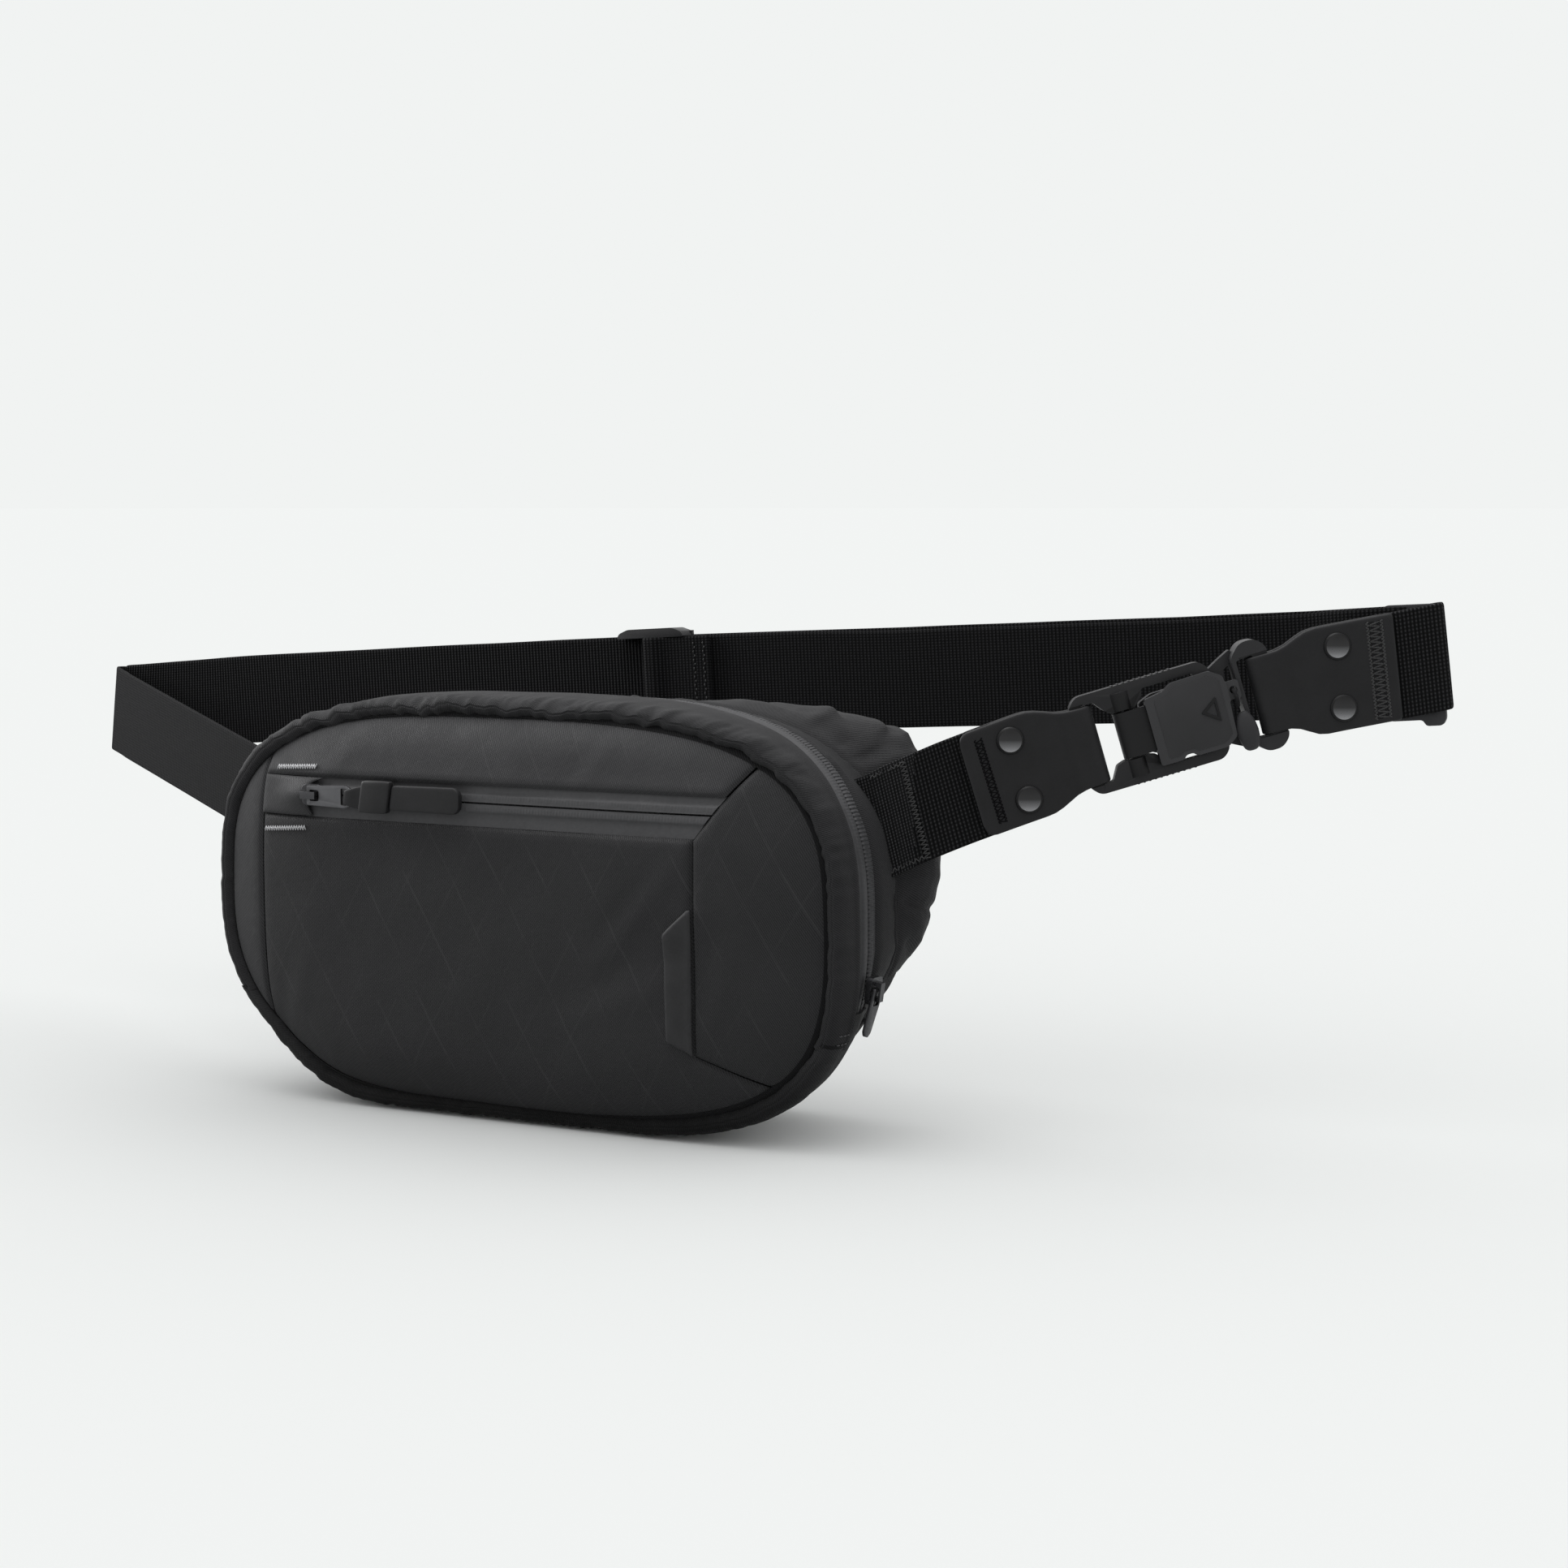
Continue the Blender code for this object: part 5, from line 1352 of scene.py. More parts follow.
# s, lean in degrees
LEAN = [(-6.0, 10.0), (28.0, 17.0), (45.0, 18.3), (73.0, 16.3), (128.6, 15.0), (158.0, 7.0),
        (200.0, 6.6)]


def chain_z(s):
    """Height of the belt's centre line, a Hermite curve through CHAIN."""
    for (s0, z0, slope0), (s1, z1, slope1) in zip(CHAIN, CHAIN[1:]):
        if s <= s1:
            h = s1 - s0
            t = (max(s, CHAIN[0][0]) - s0) / h
            return ((2 * t ** 3 - 3 * t ** 2 + 1) * z0 + (t ** 3 - 2 * t ** 2 + t) * h * slope0
                    + (-2 * t ** 3 + 3 * t ** 2) * z1 + (t ** 3 - t ** 2) * h * slope1)
    return CHAIN[-1][1]


def tilted(angle):
    """Up, leaning back along the belt."""
    return E * (-math.sin(angle)) + UP * math.cos(angle)


def chain_across(s):
    return tilted(math.radians(interp(LEAN, s)))


def chain_at(s, n, dz=0.0):
    return ORIGIN + E * s + N * n + UP * (chain_z(s) + dz)


def on_chain(s, b, n):
    return chain_at(s, n) + chain_across(s) * b


def chain_frame(s):
    across = chain_across(s)
    return Frame(chain_at(s, 0), across.cross(N), across, N)


def blend_ends(s0, s1):
    """Two belt points in metres from the floor."""
    return [(p[0] * MM, p[1] * MM, (p[2] + BASE_Z) * MM)
            for p in (chain_at(s0, 0), chain_at(s1, 0))]


def chain_zigzag(s0, b0, s1, b1, width, pitch, n, radius=0.2):
    return zigzag((s0, b0), (s1, b1), width, pitch, radius, lambda s, b: on_chain(s, b, n), N)


def stub_belt():
    """From under the side seam to the first tab; the sewn end has a finer weave."""
    seam_across = E * (-8.8) + UP * 37.0
    stations = [(chain_at(-9.5, -2.2, -1.0), seam_across, 37.4),
                (chain_at(-4.0, 0.2, -.4), seam_across, 37.8),
                (ORIGIN + E * 1.4 + N * .75 + UP * 38.6, seam_across, WEB_W)]
    stations += [(chain_at(s, .25 if s < 8 else 0), chain_across(s), WEB_W)
                 for s in (6.0, 10.0, 14.0, 22.0, 30.0, 40.0)]
    ob = webbing("stub_belt", stations, WEB_T, FRONT_WEB, rib=1.4, amp=0.13)
    paint(ob, FINE_WEB, lambda c: (c - ORIGIN).dot(E) < 7.6)
    bodies, ends = ("bag_rear", "buckle_strap"), blend_ends(4, 22)
    bridge(ob, "webbing", bodies, ends, "stub_webbing")
    parts = chain_zigzag(8.6, -18.0, 7.2, 18.0, width=2.2, pitch=.80, n=1.02)
    parts += chain_zigzag(-5.0, -17.2, 8.2, -17.0, width=1.5, pitch=.9, n=1.22)
    parts += chain_zigzag(-5.0, 17.2, 7.0, 17.2, width=1.1, pitch=.9, n=1.22)
    bridge(join_parts("stub_box_stitch", parts, THREAD_STRAP), "webbing", bodies, ends)


stub_belt()

# s, width of each tab
WIDTH_LEFT = [(28, 37.8), (50, 38.0), (53, 37.4), (57, 34.5), (60, 31.4), (63, 29.4),
              (66.5, 28.3), (70, 28.0), (80, 28.0)]
WIDTH_RIGHT = [(120, 27.6), (136, 28.0), (139.5, 28.6), (142.5, 31.0), (146, 34.8),
               (149.0, 37.4), (152, 38.0), (180, 38.0)]


def tab(name, s_open, s_fold, widths, corner, body, node):
    """Rubberised sheet folded round a slot bar; corner is the radius at its free ends."""
    d = 1 if s_fold > s_open else -1
    bar = s_fold - d * (TAB_BAR + TAB_T / 2)
    flat = []
    for t in np.linspace(0, 1, 15):
        s = s_open + (bar - s_open) * t
        left = abs(bar - s)
        flat.append((s, TAB_BAR if left < 6
                     else TAB_OUT + (TAB_BAR - TAB_OUT) * smooth01((10 - left) / 4)))
    bend = [(bar + d * TAB_BAR * math.sin(t), TAB_BAR * math.cos(t))
            for t in (0.3, 0.6, 0.9, 1.2, 1.57, 1.94, 2.24, 2.54, 2.84)]
    path = flat + bend + [(s, -n) for s, n in reversed(flat)]

    def width_at(s, total, width):
        e = min(s, total - s)
        if e >= corner:
            return width
        return width - 2 * (corner - math.sqrt(max(corner ** 2 - (corner - e) ** 2, 0.0))) * 0.92

    ob = webbing(name, [(chain_at(s, n), chain_across(s), interp(widths, s)) for s, n in path],
                 TAB_T, TAB_RUBBER, width_at=width_at,
                 shift=lambda p, s: np.array(tuple(N)) * (0.16 * wobble(s * .06, p[2] * .03, 3)))
    place(ob, body, "rubberised_tab", node)


tab("rubber_tab_left", 28.0, 73.8, WIDTH_LEFT, 4.2, "buckle_strap", "tab_left")
tab("rubber_tab_right", 178.8, 128.0, WIDTH_RIGHT, 0.9, "clasp", "tab_right")

TAB_FACE = TAB_OUT + TAB_T / 2
# dark fabric painted as the shade in the needle holes of the right tab's stitching
STITCH_HOLE_SHADE = fabric("stitch_hole_shade", (0.0058, 0.0058, 0.0062), scrim=False, rough=0.85)


def stitch_hole_shade(name, s0, s1):
    """Dark strip that a stitch row on the right tab lies in, painted as the shade in its needle
    holes.
    """
    rows = []
    for b in np.linspace(-17.3, 17.3, 37):
        e0, e1 = s0 + .35 * wobble(b * .6, 3.0, s0), s1 + .35 * wobble(b * .6, 8.0, s1)
        rows.append([(*on_chain(s, b, TAB_FACE + .045), *on_chain(s, b, TAB_FACE - .30))
                     for s in (e0 + (e1 - e0) * t for t in (0, .5, 1))])
    place(grid_solid(name, rows, STITCH_HOLE_SHADE), "clasp", "rubberised_tab")


def tab_stitch(name, outer_rows, b0, b1, outer_width, inner, mat, body):
    """Two narrow rows with a wide one between; inner is its s, half length, width, pitch
    and thread radius. b0, b1 end the narrow rows."""
    parts = []
    for s in outer_rows:
        parts += chain_zigzag(s, b0, s, b1, outer_width, .62, TAB_FACE + .02, .24)
    s, start, end, width, pitch = inner
    parts += chain_zigzag(s, start, s, end, width, pitch, TAB_FACE - .02, .22)
    place(join_parts(name, parts, mat), body, "rubberised_tab")


stitch_hole_shade("tab_right_stitch_bed", 169.3, 172.0)
stitch_hole_shade("tab_right_stitch_bed_2", 172.9, 174.9)
tab_stitch("tab_left_stitch", (33.4, 35.6), -15.6, 15.8, .9, (34.5, -15.6, 15.8, 2.4, .9),
           THREAD_BLACK, "buckle_strap")
tab_stitch("tab_right_stitch", (169.6, 174.6), -17.4, 17.4, 1.1,
           (172.1, -17.2, 17.2, 4.6, .95), THREAD_STRAP, "clasp")

RIVET_R = 4.9
# radius, height: back plate, shank, domed head
RIVET_PROFILE = [(0, -4.3), (2.4, -4.25), (3.9, -4.0), (4.35, -3.6), (4.4, -3.1), (1.5, -3.05),
                 (1.5, 2.85), (RIVET_R - .35, 2.86), (RIVET_R, 3.0), (RIVET_R + .02, 3.25),
                 (RIVET_R - .18, 3.55), (4.05, 3.86), (3.45, 4.14), (2.8, 4.38), (1.9, 4.56),
                 (1.0, 4.67), (0, 4.7)]


def rivet(name, s, b, body, node):
    """Rivet with a black rim painted as the shade round its edge."""
    ob = lathe(name, chain_frame(s), (0, b, 0), RIVET_PROFILE, RIVET_REFLECTION_PAINT, seg=56, angle=50)
    middle = on_chain(s, b, 0)

    def in_rim_shade(centre):
        c = centre - middle
        return (c - N * c.dot(N)).length > 4.2

    # painted shade: a black ring round the rivet's edge
    paint(ob, BLACK_PLASTIC, in_rim_shade)
    place(ob, body, "black_metal", node)


for side_name, rivet_s, rivet_body in (("left", 44.8, "buckle_strap"), ("right", 158.5, "clasp")):
    for level, rivet_b in (("upper", 11.0), ("lower", -11.0)):
        rivet("rivet_dome_" + side_name[0] + level[0], rivet_s, rivet_b, rivet_body,
              "rivet_%s_%s" % (side_name, level))

# ============================================================ buckle
BUCKLE_TILT = math.radians(16.3)
BUCKLE = Frame(ORIGIN + E * 91.0 + UP * 70.1,
               E * math.cos(BUCKLE_TILT) + UP * math.sin(BUCKLE_TILT), tilted(BUCKLE_TILT), N)
PIN = (-7.5, 0, 0)      # pivot of the lever
PIN_BORE = 1.3
# (a, b) outlines in the buckle frame
BASE_OUTLINE = [(-26.3, -14.2), (-23.0, -17.9), (22.5, -17.9), (25.6, -14.8), (25.6, 14.8),
                (22.5, 17.9), (-23.0, 17.9), (-26.3, 14.2)]
BASE_OPENING = [(-21.4, -14.4), (-17.3, -14.4), (-14.6, -9.6), (-11.7, -8.6), (-3.3, -8.6),
                (0.0, -9.6), (1.2, -12.0), (1.8, -14.4), (19.5, -14.4), (19.5, 14.4),
                (0.6, 14.4), (0.0, 11.4), (-3.3, 8.6), (-11.7, 8.6), (-14.2, 10.6),
                (-17.3, 14.4), (-21.4, 14.4)]


def on_buckle(test):
    """Turn a test of buckle (a, b, n) into one of a face centre."""
    return lambda c: test(*BUCKLE.local(c))


def buckle_base():
    """Frame with a thinned slot bar at its left end and two bored bosses."""
    ob = plate("buckle_base_body", BUCKLE, rounded(BASE_OUTLINE, 2.4, 5), -2.3, 2.3,
               BUCKLE_PLASTIC, holes=[rounded(BASE_OPENING, 0.6, 2)])
    for n0, n1 in ((1.3, 6), (-6, -1.3)):
        block(ob, CUT, BUCKLE, box(-30, -20.9, -14.8, 14.8), n0, n1)
    for b0, b1 in ((-15.3, -8.9), (8.9, 15.3)):
        peg(ob, JOIN, BUCKLE, PIN, 3.9, b0, b1)
    peg(ob, CUT, BUCKLE, PIN, PIN_BORE, -16.4, 16.4, seg=24)
    finish(ob, 0.75)
    paint(ob, BLACK_PLASTIC, on_buckle(lambda a, b, n: -11.9 < a < -3.2 and abs(b) < 14.9))
    place(ob, "buckle_strap", "buckle_plastic", "buckle_base")


def grip_ribs(count=11, pitch=2.1):
    """Small ribs along the outer edges of both rails."""
    faces = [(0, 2, 3, 1), (2, 4, 5, 3), (4, 6, 7, 5), (6, 0, 1, 7), (0, 6, 4, 2), (1, 3, 5, 7)]
    parts = []
    for side in (-1, 1):
        for k in range(count):
            a = -9.0 + k * pitch
            verts = [BUCKLE.at(a + da, side * (17.55 + db), n)
                     for da, db in ((-.55, 0), (-.3, .62), (.3, .62), (.55, 0))
                     for n in (-1.7, 1.7)]
            parts.append((verts, faces))
    place(join_parts("buckle_grip_ribs", parts, BUCKLE_PLASTIC, smooth=False),
          "buckle_strap", "buckle_plastic")


buckle_base()
grip_ribs()

LUG_B = 5.0     # b of the cord lug on the lever's free end
LEVER_OUTLINE = [(0.0, -13.8), (8.2, -13.8), (9.4, -12.4), (12.0, -12.4), (13.2, -13.8),
                 (24.6, -13.8), (28.6, -11.0), (29.2, LUG_B - 3.3), (33.9, LUG_B - 3.3),
                 (33.9, LUG_B + 3.3), (29.2, LUG_B + 3.3), (29.0, 11.0), (24.8, 13.8),
                 (10.4, 13.5), (7.6, 11.6), (0.0, 10.4)]
LAND_OUTLINE = [(3.2, -12.2), (7.6, -12.2), (8.8, -11.0), (12.6, -11.0), (13.8, -12.2),
                (24.0, -12.2), (27.2, -9.8), (27.4, 10.2), (24.2, 12.4), (10.8, 12.1),
                (8.0, 10.2), (3.2, 9.4)]
POINTER_OUTER = [(18.2, 0.1), (24.6, -4.5), (24.6, 4.6)]
POINTER_INNER = [(19.9, 0.1), (23.7, -2.6), (23.7, 2.8)]


def lever():
    """Lever plate with a thinned lug, a neck and a bored barrel on the pin."""
    ob = plate("lever_body", BUCKLE, rounded(LEVER_OUTLINE, 1.0, 4), 2.8, 6.0, LEVER_PLASTIC)
    for n0, n1 in ((5.1, 7), (2, 3.7)):
        block(ob, CUT, BUCKLE, box(29.6, 35, -2, 12), n0, n1)
    peg(ob, CUT, BUCKLE, (31.6, LUG_B, 0), 1.4, 2.0, 7.0, seg=24, axis="n")
    block(ob, JOIN, BUCKLE, box(PIN[0], 1.4, -8.2, 8.2), 1.4, 3.95)
    peg(ob, JOIN, BUCKLE, PIN, 3.95, -8.2, 8.2)
    peg(ob, CUT, BUCKLE, PIN, PIN_BORE, -9.0, 9.0, seg=24)
    finish(ob, 0.55)
    paint(ob, BLACK_PLASTIC, on_buckle(lambda a, b, n: a < 0.2))
    place(ob, "lever", "buckle_plastic", "buckle_lever")


def lever_marks():
    """Raised triangle pointing towards the pivot, in black as painted shade of a recessed
    outline, its face, and a shallow land.
    """
    inner = rounded(POINTER_INNER, .4, 2)
    # black outline: painted shade of a recessed outline
    ob = plate("lever_pointer", BUCKLE, rounded(POINTER_OUTER, .6, 3), 5.9, 6.75,
               BLACK_PLASTIC, holes=[inner])
    place(finish(ob, 0.2, seg=2), "lever", "buckle_plastic")
    place(plate("lever_pointer_face", BUCKLE, inner, 5.9, 6.3, BUCKLE_PLASTIC),
          "lever", "buckle_plastic")
    ob = plate("lever_land", BUCKLE, rounded(LAND_OUTLINE, 1.0, 4), 5.6, 6.16, LEVER_PLASTIC)
    place(finish(ob, 0.15, seg=2), "lever", "buckle_plastic")


lever()
lever_marks()

HOOK_OUTLINE = [(-1.0, -9.0), (4.0, -11.0), (22.0, -11.4), (30.0, -15.8), (35.5, -18.4),
                (35.5, 18.4), (30.0, 15.8), (22.0, 11.4), (4.0, 11.0), (-1.0, 9.0)]
HOOK_OPENING = [(31.2, -11.8), (34.4, -13.6), (34.4, 13.6), (31.2, 11.8)]
HOOK_END = [(34.0, -15.6), (38.4, -20.0), (43.8, -20.0), (47.3, -16.6), (47.3, 16.6),
            (43.8, 20.0), (38.4, 20.0), (34.0, 15.6)]
HOOK_SLOT = [(35.6, -14.0), (41.8, -14.5), (41.8, 14.5), (35.6, 14.0)]


def hook():
    """Tongue behind the base, with a thicker slotted end whose bar is thinned."""
    ob = plate("hook_body", BUCKLE, rounded(HOOK_OUTLINE, 1.0, 3), -6.4, -2.9, BUCKLE_PLASTIC,
               holes=[rounded(HOOK_OPENING, .6, 3)])
    block(ob, JOIN, BUCKLE, rounded(HOOK_END, 2.2, 5), -6.4, 2.3,
          holes=[rounded(HOOK_SLOT, .6, 3)])
    for n0, n1 in ((1.3, 6), (-9, -1.3)):
        block(ob, CUT, BUCKLE, box(36.9, 52, -14.9, 14.9), n0, n1)
    place(finish(ob, 0.7), "clasp", "buckle_plastic", "buckle_hook")


def toggle_cord(loop_r=3.0):
    """Ribbed cord ring through the lug."""
    rings = []
    for i in range(48):
        t = 2 * math.pi * i / 48
        ring = []
        for j in range(12):
            q = 2 * math.pi * j / 12
            r = .72 + .07 * math.sin(14 * t + 2 * q)
            ring.append(BUCKLE.at(
                31.6 + r * math.sin(q),
                LUG_B - loop_r + loop_r * math.cos(t) + r * math.cos(q) * math.cos(t),
                4.4 + loop_r * math.sin(t) + r * math.cos(q) * math.sin(t)))
        rings.append(ring)
    place(tube("toggle_cord", rings, FINE_WEB, closed=True, zero_uv=True),
          "lever_toggle", "webbing", "lever_cord")


# b, half width along a, half depth along n
KNOB = [(-17.4, 1.2, .9), (-17.1, 1.9, 1.3), (-16.4, 2.6, 1.8), (-15.0, 3.2, 2.2),
        (-12.8, 3.7, 2.55), (-10.6, 3.85, 2.65), (-8.4, 3.6, 2.5), (-6.4, 3.1, 2.15),
        (-5.0, 2.5, 1.75), (-4.0, 1.8, 1.3), (-3.3, 1.2, .9)]


def toggle_knob():
    turns = [2 * math.pi * j / 28 for j in range(28)]
    rings = [[BUCKLE.at(32.6 + ra * math.cos(t), b, 5.6 + rn * math.sin(t)) for t in turns]
             for b, ra, rn in KNOB]
    place(tube("toggle_knob", rings, GREY_PLASTIC, angle=50),
          "lever_toggle", "buckle_plastic", "lever_knob")


hook()
toggle_cord()
toggle_knob()

# ============================================================ ring and short strap
RING_S, RING_N, RING_TILT = 186.5, -5.95, math.radians(24.0)
BAR_REACH = 8.8     # from the ring's centre to each bar
RING_OUTLINE = [(-10.4, -19.4), (-8.8, -20.9), (2.4, -20.9), (3.6, -23.1), (9.4, -23.1),
                (10.8, -20.8), (10.2, 18.9), (8.6, 20.3), (-8.4, 20.6), (-10.2, 19.2)]
# s, n of the two bars
RIGHT_BAR = (RING_S + BAR_REACH * math.cos(RING_TILT), RING_N + BAR_REACH * math.sin(RING_TILT))
LEFT_BAR = (RING_S - BAR_REACH * math.cos(RING_TILT), RING_N - BAR_REACH * math.sin(RING_TILT))


def belt_ring():
    up = tilted(math.radians(4.5))
    along = E * math.cos(RING_TILT) + N * math.sin(RING_TILT)
    along = (along - up * along.dot(up)).normalized()
    fr = Frame(ORIGIN + E * RING_S + N * RING_N + UP * (chain_z(RING_S) - 0.4),
               along, up, up.cross(along) * -1)
    ob = plate("belt_ring", fr, rounded(RING_OUTLINE, 1.3, 4), -1.3, 1.3, RING_PLASTIC,
               holes=[rounded(box(-7.2, 7.2, -18.5, 18.3), .8, 3)])
    place(finish(ob, 0.8), "belt", "grey_plastic", "strap_ring")


def short_belt(wrap=3.05):
    """Strap from the right tab, round the ring's right bar and back."""
    s, n = RIGHT_BAR
    path = [(174.5, .38), (178.0, .45), (182.5, .8), (187.0, .85), (s - 1.0, .95)]
    path += [(s + wrap * math.sin(t), n + wrap * math.cos(t))
             for t in (0.45, 0.75, 1.1, 1.5, 1.9, 2.3, 2.7, 3.14)]
    path += [(s - 4.2, n - 2.0), (187.2, -1.7), (182.5, -1.1), (178.0, -.75), (174.5, -.7)]
    ob = webbing("short_belt", [(chain_at(s, n), chain_across(s), WEB_W) for s, n in path],
                 WEB_T, FRONT_WEB, rib=1.4, amp=0.13)
    bridge(ob, "webbing", ("clasp", "belt"), blend_ends(178.5, 184), "short_webbing")


belt_ring()
short_belt()

# ============================================================ long belt
FOLD = Vector((-327.8, 124.0, 0))       # centre of the far left fold
FOLD_R = 2.5
FOLD_LEAN = math.radians(6.0)
FOLD_ACROSS = Vector((math.sin(FOLD_LEAN), 0, math.cos(FOLD_LEAN)))
RING_END = ORIGIN + E * (LEFT_BAR[0] + 1.9) + N * (LEFT_BAR[1] - 2.9)
# heading of the back run, left to right, and its front-facing normal
BACK_DIR = Vector((RING_END.x - -327.8, RING_END.y - (124.0 + FOLD_R), 0)).normalized()
FRONT_OFF = Vector((BACK_DIR.y, -BACK_DIR.x, 0))
BACK_SLOPE = 0.0632
GLIDE_X = -34.0         # x of the sliding adjuster
LAYER_OFF = 1.65        # front layer of the back run off the rear one


def back_z(x):
    return 77.6 + (x + 21.0) * BACK_SLOPE - ((x + 21.0) / 311.0) ** 2 * 2.3


def lean(direction, degrees):
    """Up, leaning back along a level direction."""
    a = math.radians(degrees)
    return Vector((-direction.x * math.sin(a), -direction.y * math.sin(a), math.cos(a)))


def back_across(x):
    t = min(max((x - -327.8) / 70.0, 0.0), 1.0)
    return FOLD_ACROSS.lerp(lean(BACK_DIR, 3.7), t)


def fold_point(heading):
    return FOLD - Vector((math.sin(heading), -math.cos(heading), 0)) * FOLD_R


BACK_HEADING = math.atan2(BACK_DIR.y, BACK_DIR.x)
BACK_START = fold_point(BACK_HEADING)


def long_stations():
    """Left seam, far left fold, back run, loop round the ring, front layer."""
    seam = Vector((-CHAIN_X, CHAIN_Y, 0))
    direction = (FOLD - seam).normalized()
    front_end = fold_point(math.atan2(direction.y, direction.x))
    direction = (front_end - seam).normalized()
    heading = math.atan2(direction.y, direction.x)
    length = (front_end - seam).length
    width = WEB_W - 1.4
    across = direction * (-4.5) + UP * 38.0
    out = [(seam - direction * 7.0 + UP * 28.0, across, WEB_W),
           (seam + direction * 0.6 + UP * 30.1, across, width)]
    for t in (10, 24, 60, 110, 160, 200, length - 8, length):
        u = t / length
        out.append((seam + direction * t + UP * (28.0 + 27.4 * t / length + 2.0 * (1 - u)),
                    lean(direction, 6.5).lerp(FOLD_ACROSS, u), WEB_W - 1.4 * (1 - u ** 2)))
    for k in range(1, 12):
        out.append((fold_point(heading + (BACK_HEADING - heading) * k / 12.0) + UP * 55.5,
                    FOLD_ACROSS, WEB_W))

    def lay(q, width=WEB_W):
        out.append((q + UP * back_z(q.x), back_across(q.x), width))

    back_length = (RING_END - BACK_START).length
    for t in (0, 8, 35, 75, 140, 205, 270, 335, 400, 465, 525, 575, back_length):
        lay(BACK_START + BACK_DIR * t, WEB_W + 0.7 * smooth01(t / 80.0))
    loop = ORIGIN + E * LEFT_BAR[0] + N * LEFT_BAR[1] + BACK_DIR * 4.0
    loop_r = (RING_END - loop).dot(-FRONT_OFF)
    for k in range(13):
        t = math.pi * k / 12
        q = loop + (-FRONT_OFF) * (loop_r * math.cos(t)) + BACK_DIR * (loop_r * math.sin(t))
        out.append((Vector((q.x, q.y, back_z(loop.x))), back_across(q.x), WEB_W))
    glide = (RING_END.x - (GLIDE_X - 3.0)) / BACK_DIR.x
    for t, off in ([(12.0, 2 * loop_r), (30.0, 3.2)]
                   + [(t, LAYER_OFF) for t in (55.0, 90, 120, 180, 240, glide)]):
        lay(RING_END + FRONT_OFF * off - BACK_DIR * t)
    return out


# x, drop of the back run
DROP = [(-330, 0.3), (-200, 0.0), (-34, -1.0), (80, -2.3), (200, -2.6), (250, -2.2),
        (290, -1.2)]


def sag(p, s):
    """Slow waviness, the same for layers that lie together."""
    x, y = p[0], p[1]
    back_y = BACK_START.y + (x - BACK_START.x) * BACK_DIR.y / BACK_DIR.x
    near = smooth01((y - (back_y - 16.0)) / 5.0)
    clear = smooth01((abs(x) - 75.0) / 50.0)        # none close behind the bag
    k = smooth01((x + 322.0) / 60.0) * smooth01((235.0 - x) / 50.0) * near * clear
    drop = interp(DROP, x) * near
    front_layer = (smooth01((back_y - 0.75 - y) / 0.5) * near
                   * smooth01((x - 25.0) / 60.0) * (1.0 - smooth01((x - 235.0) / 35.0)))
    drop -= 0.8 * front_layer
    return (np.array(tuple(FRONT_OFF)) * (1.1 * wobble(x * .011, 3.0, 7.0) * k)
            + np.array((0, 0, .5 * wobble(x * .014, 9.0, 1.0) * k + drop)))


place(webbing("long_belt", long_stations(), WEB_T, BELT_WEB, rib=1.6, amp=0.16, sub=3,
              shift=sag), "belt", "webbing", "long_webbing")


def glide_frame():
    q = BACK_START + BACK_DIR * ((GLIDE_X - BACK_START.x) / BACK_DIR.x)
    slope = math.atan(BACK_SLOPE)
    along = (BACK_DIR * math.cos(slope) + UP * math.sin(slope)).normalized()
    across = back_across(GLIDE_X)
    across = (across - along * across.dot(along)).normalized()
    return Frame(q + UP * (back_z(q.x) - 1.15), along, across, FRONT_OFF)


GLIDE = glide_frame()
GLIDE_UPPER = [(-16.5, 18.7), (16.5, 18.7), (15.0, 20.9), (10.8, 22.4), (-10.8, 22.4),
               (-15.0, 20.9)]
GLIDE_LOWER = [(-16.5, -19.5), (-15.2, -21.7), (-12.0, -22.5), (12.0, -22.5), (15.2, -21.7),
               (16.5, -19.5)]
# a, n of the belt's tail: over the adjuster's middle bar and back
TAIL = [(27.4, 4.95), (20.0, 4.95), (12.0, 4.95), (7.0, 5.3), (2.6, 6.85), (0.4, 7.0),
        (-1.6, 6.85), (-2.6, 6.4), (-3.1, 5.4), (-3.0, 4.3), (-2.2, 3.6), (-.6, 3.35),
        (2.6, 3.35), (12.0, 3.35), (20.0, 3.35), (27.0, 3.35)]


def adjuster():
    """Two long cheeks joined by three bars, the belt's tail and its stitches."""
    ob = plate("glide_body", GLIDE, rounded(GLIDE_UPPER, .9, 3), -2.6, 6.0, BUCKLE_PLASTIC)
    block(ob, JOIN, GLIDE, rounded(GLIDE_LOWER, .9, 3), -2.6, 6.0)
    for a0, a1, n0, n1 in ((-16.2, -13.0, -2.4, -1.0), (13.0, 16.2, -2.4, -1.0),
                           (-1.8, 1.8, 4.3, 5.9)):
        block(ob, JOIN, GLIDE, box(a0, a1, -21.0, 21.0), n0, n1)
    place(finish(ob, 0.7), "adjuster", "buckle_plastic", "triglide")
    ob = webbing("belt_tail", [(GLIDE.at(a, 0, n), GLIDE.b, WEB_W - 0.4) for a, n in TAIL],
                 WEB_T, BELT_WEB, rib=1.6, amp=0.12)
    place(ob, "adjuster", "webbing", "webbing_tail")
    parts = []
    for a in (21.0, 25.6):
        points = [GLIDE.at(a + (.3 if k % 4 < 2 else -.3), -17 + 34 * k / 40.0, 5.72)
                  for k in range(41)]
        parts += threads([(points[k], points[k + 1], GLIDE.n) for k in range(0, 40, 2)], .26)
    place(join_parts("tail_stitches", parts, THREAD_STRAP), "adjuster", "webbing")


adjuster()


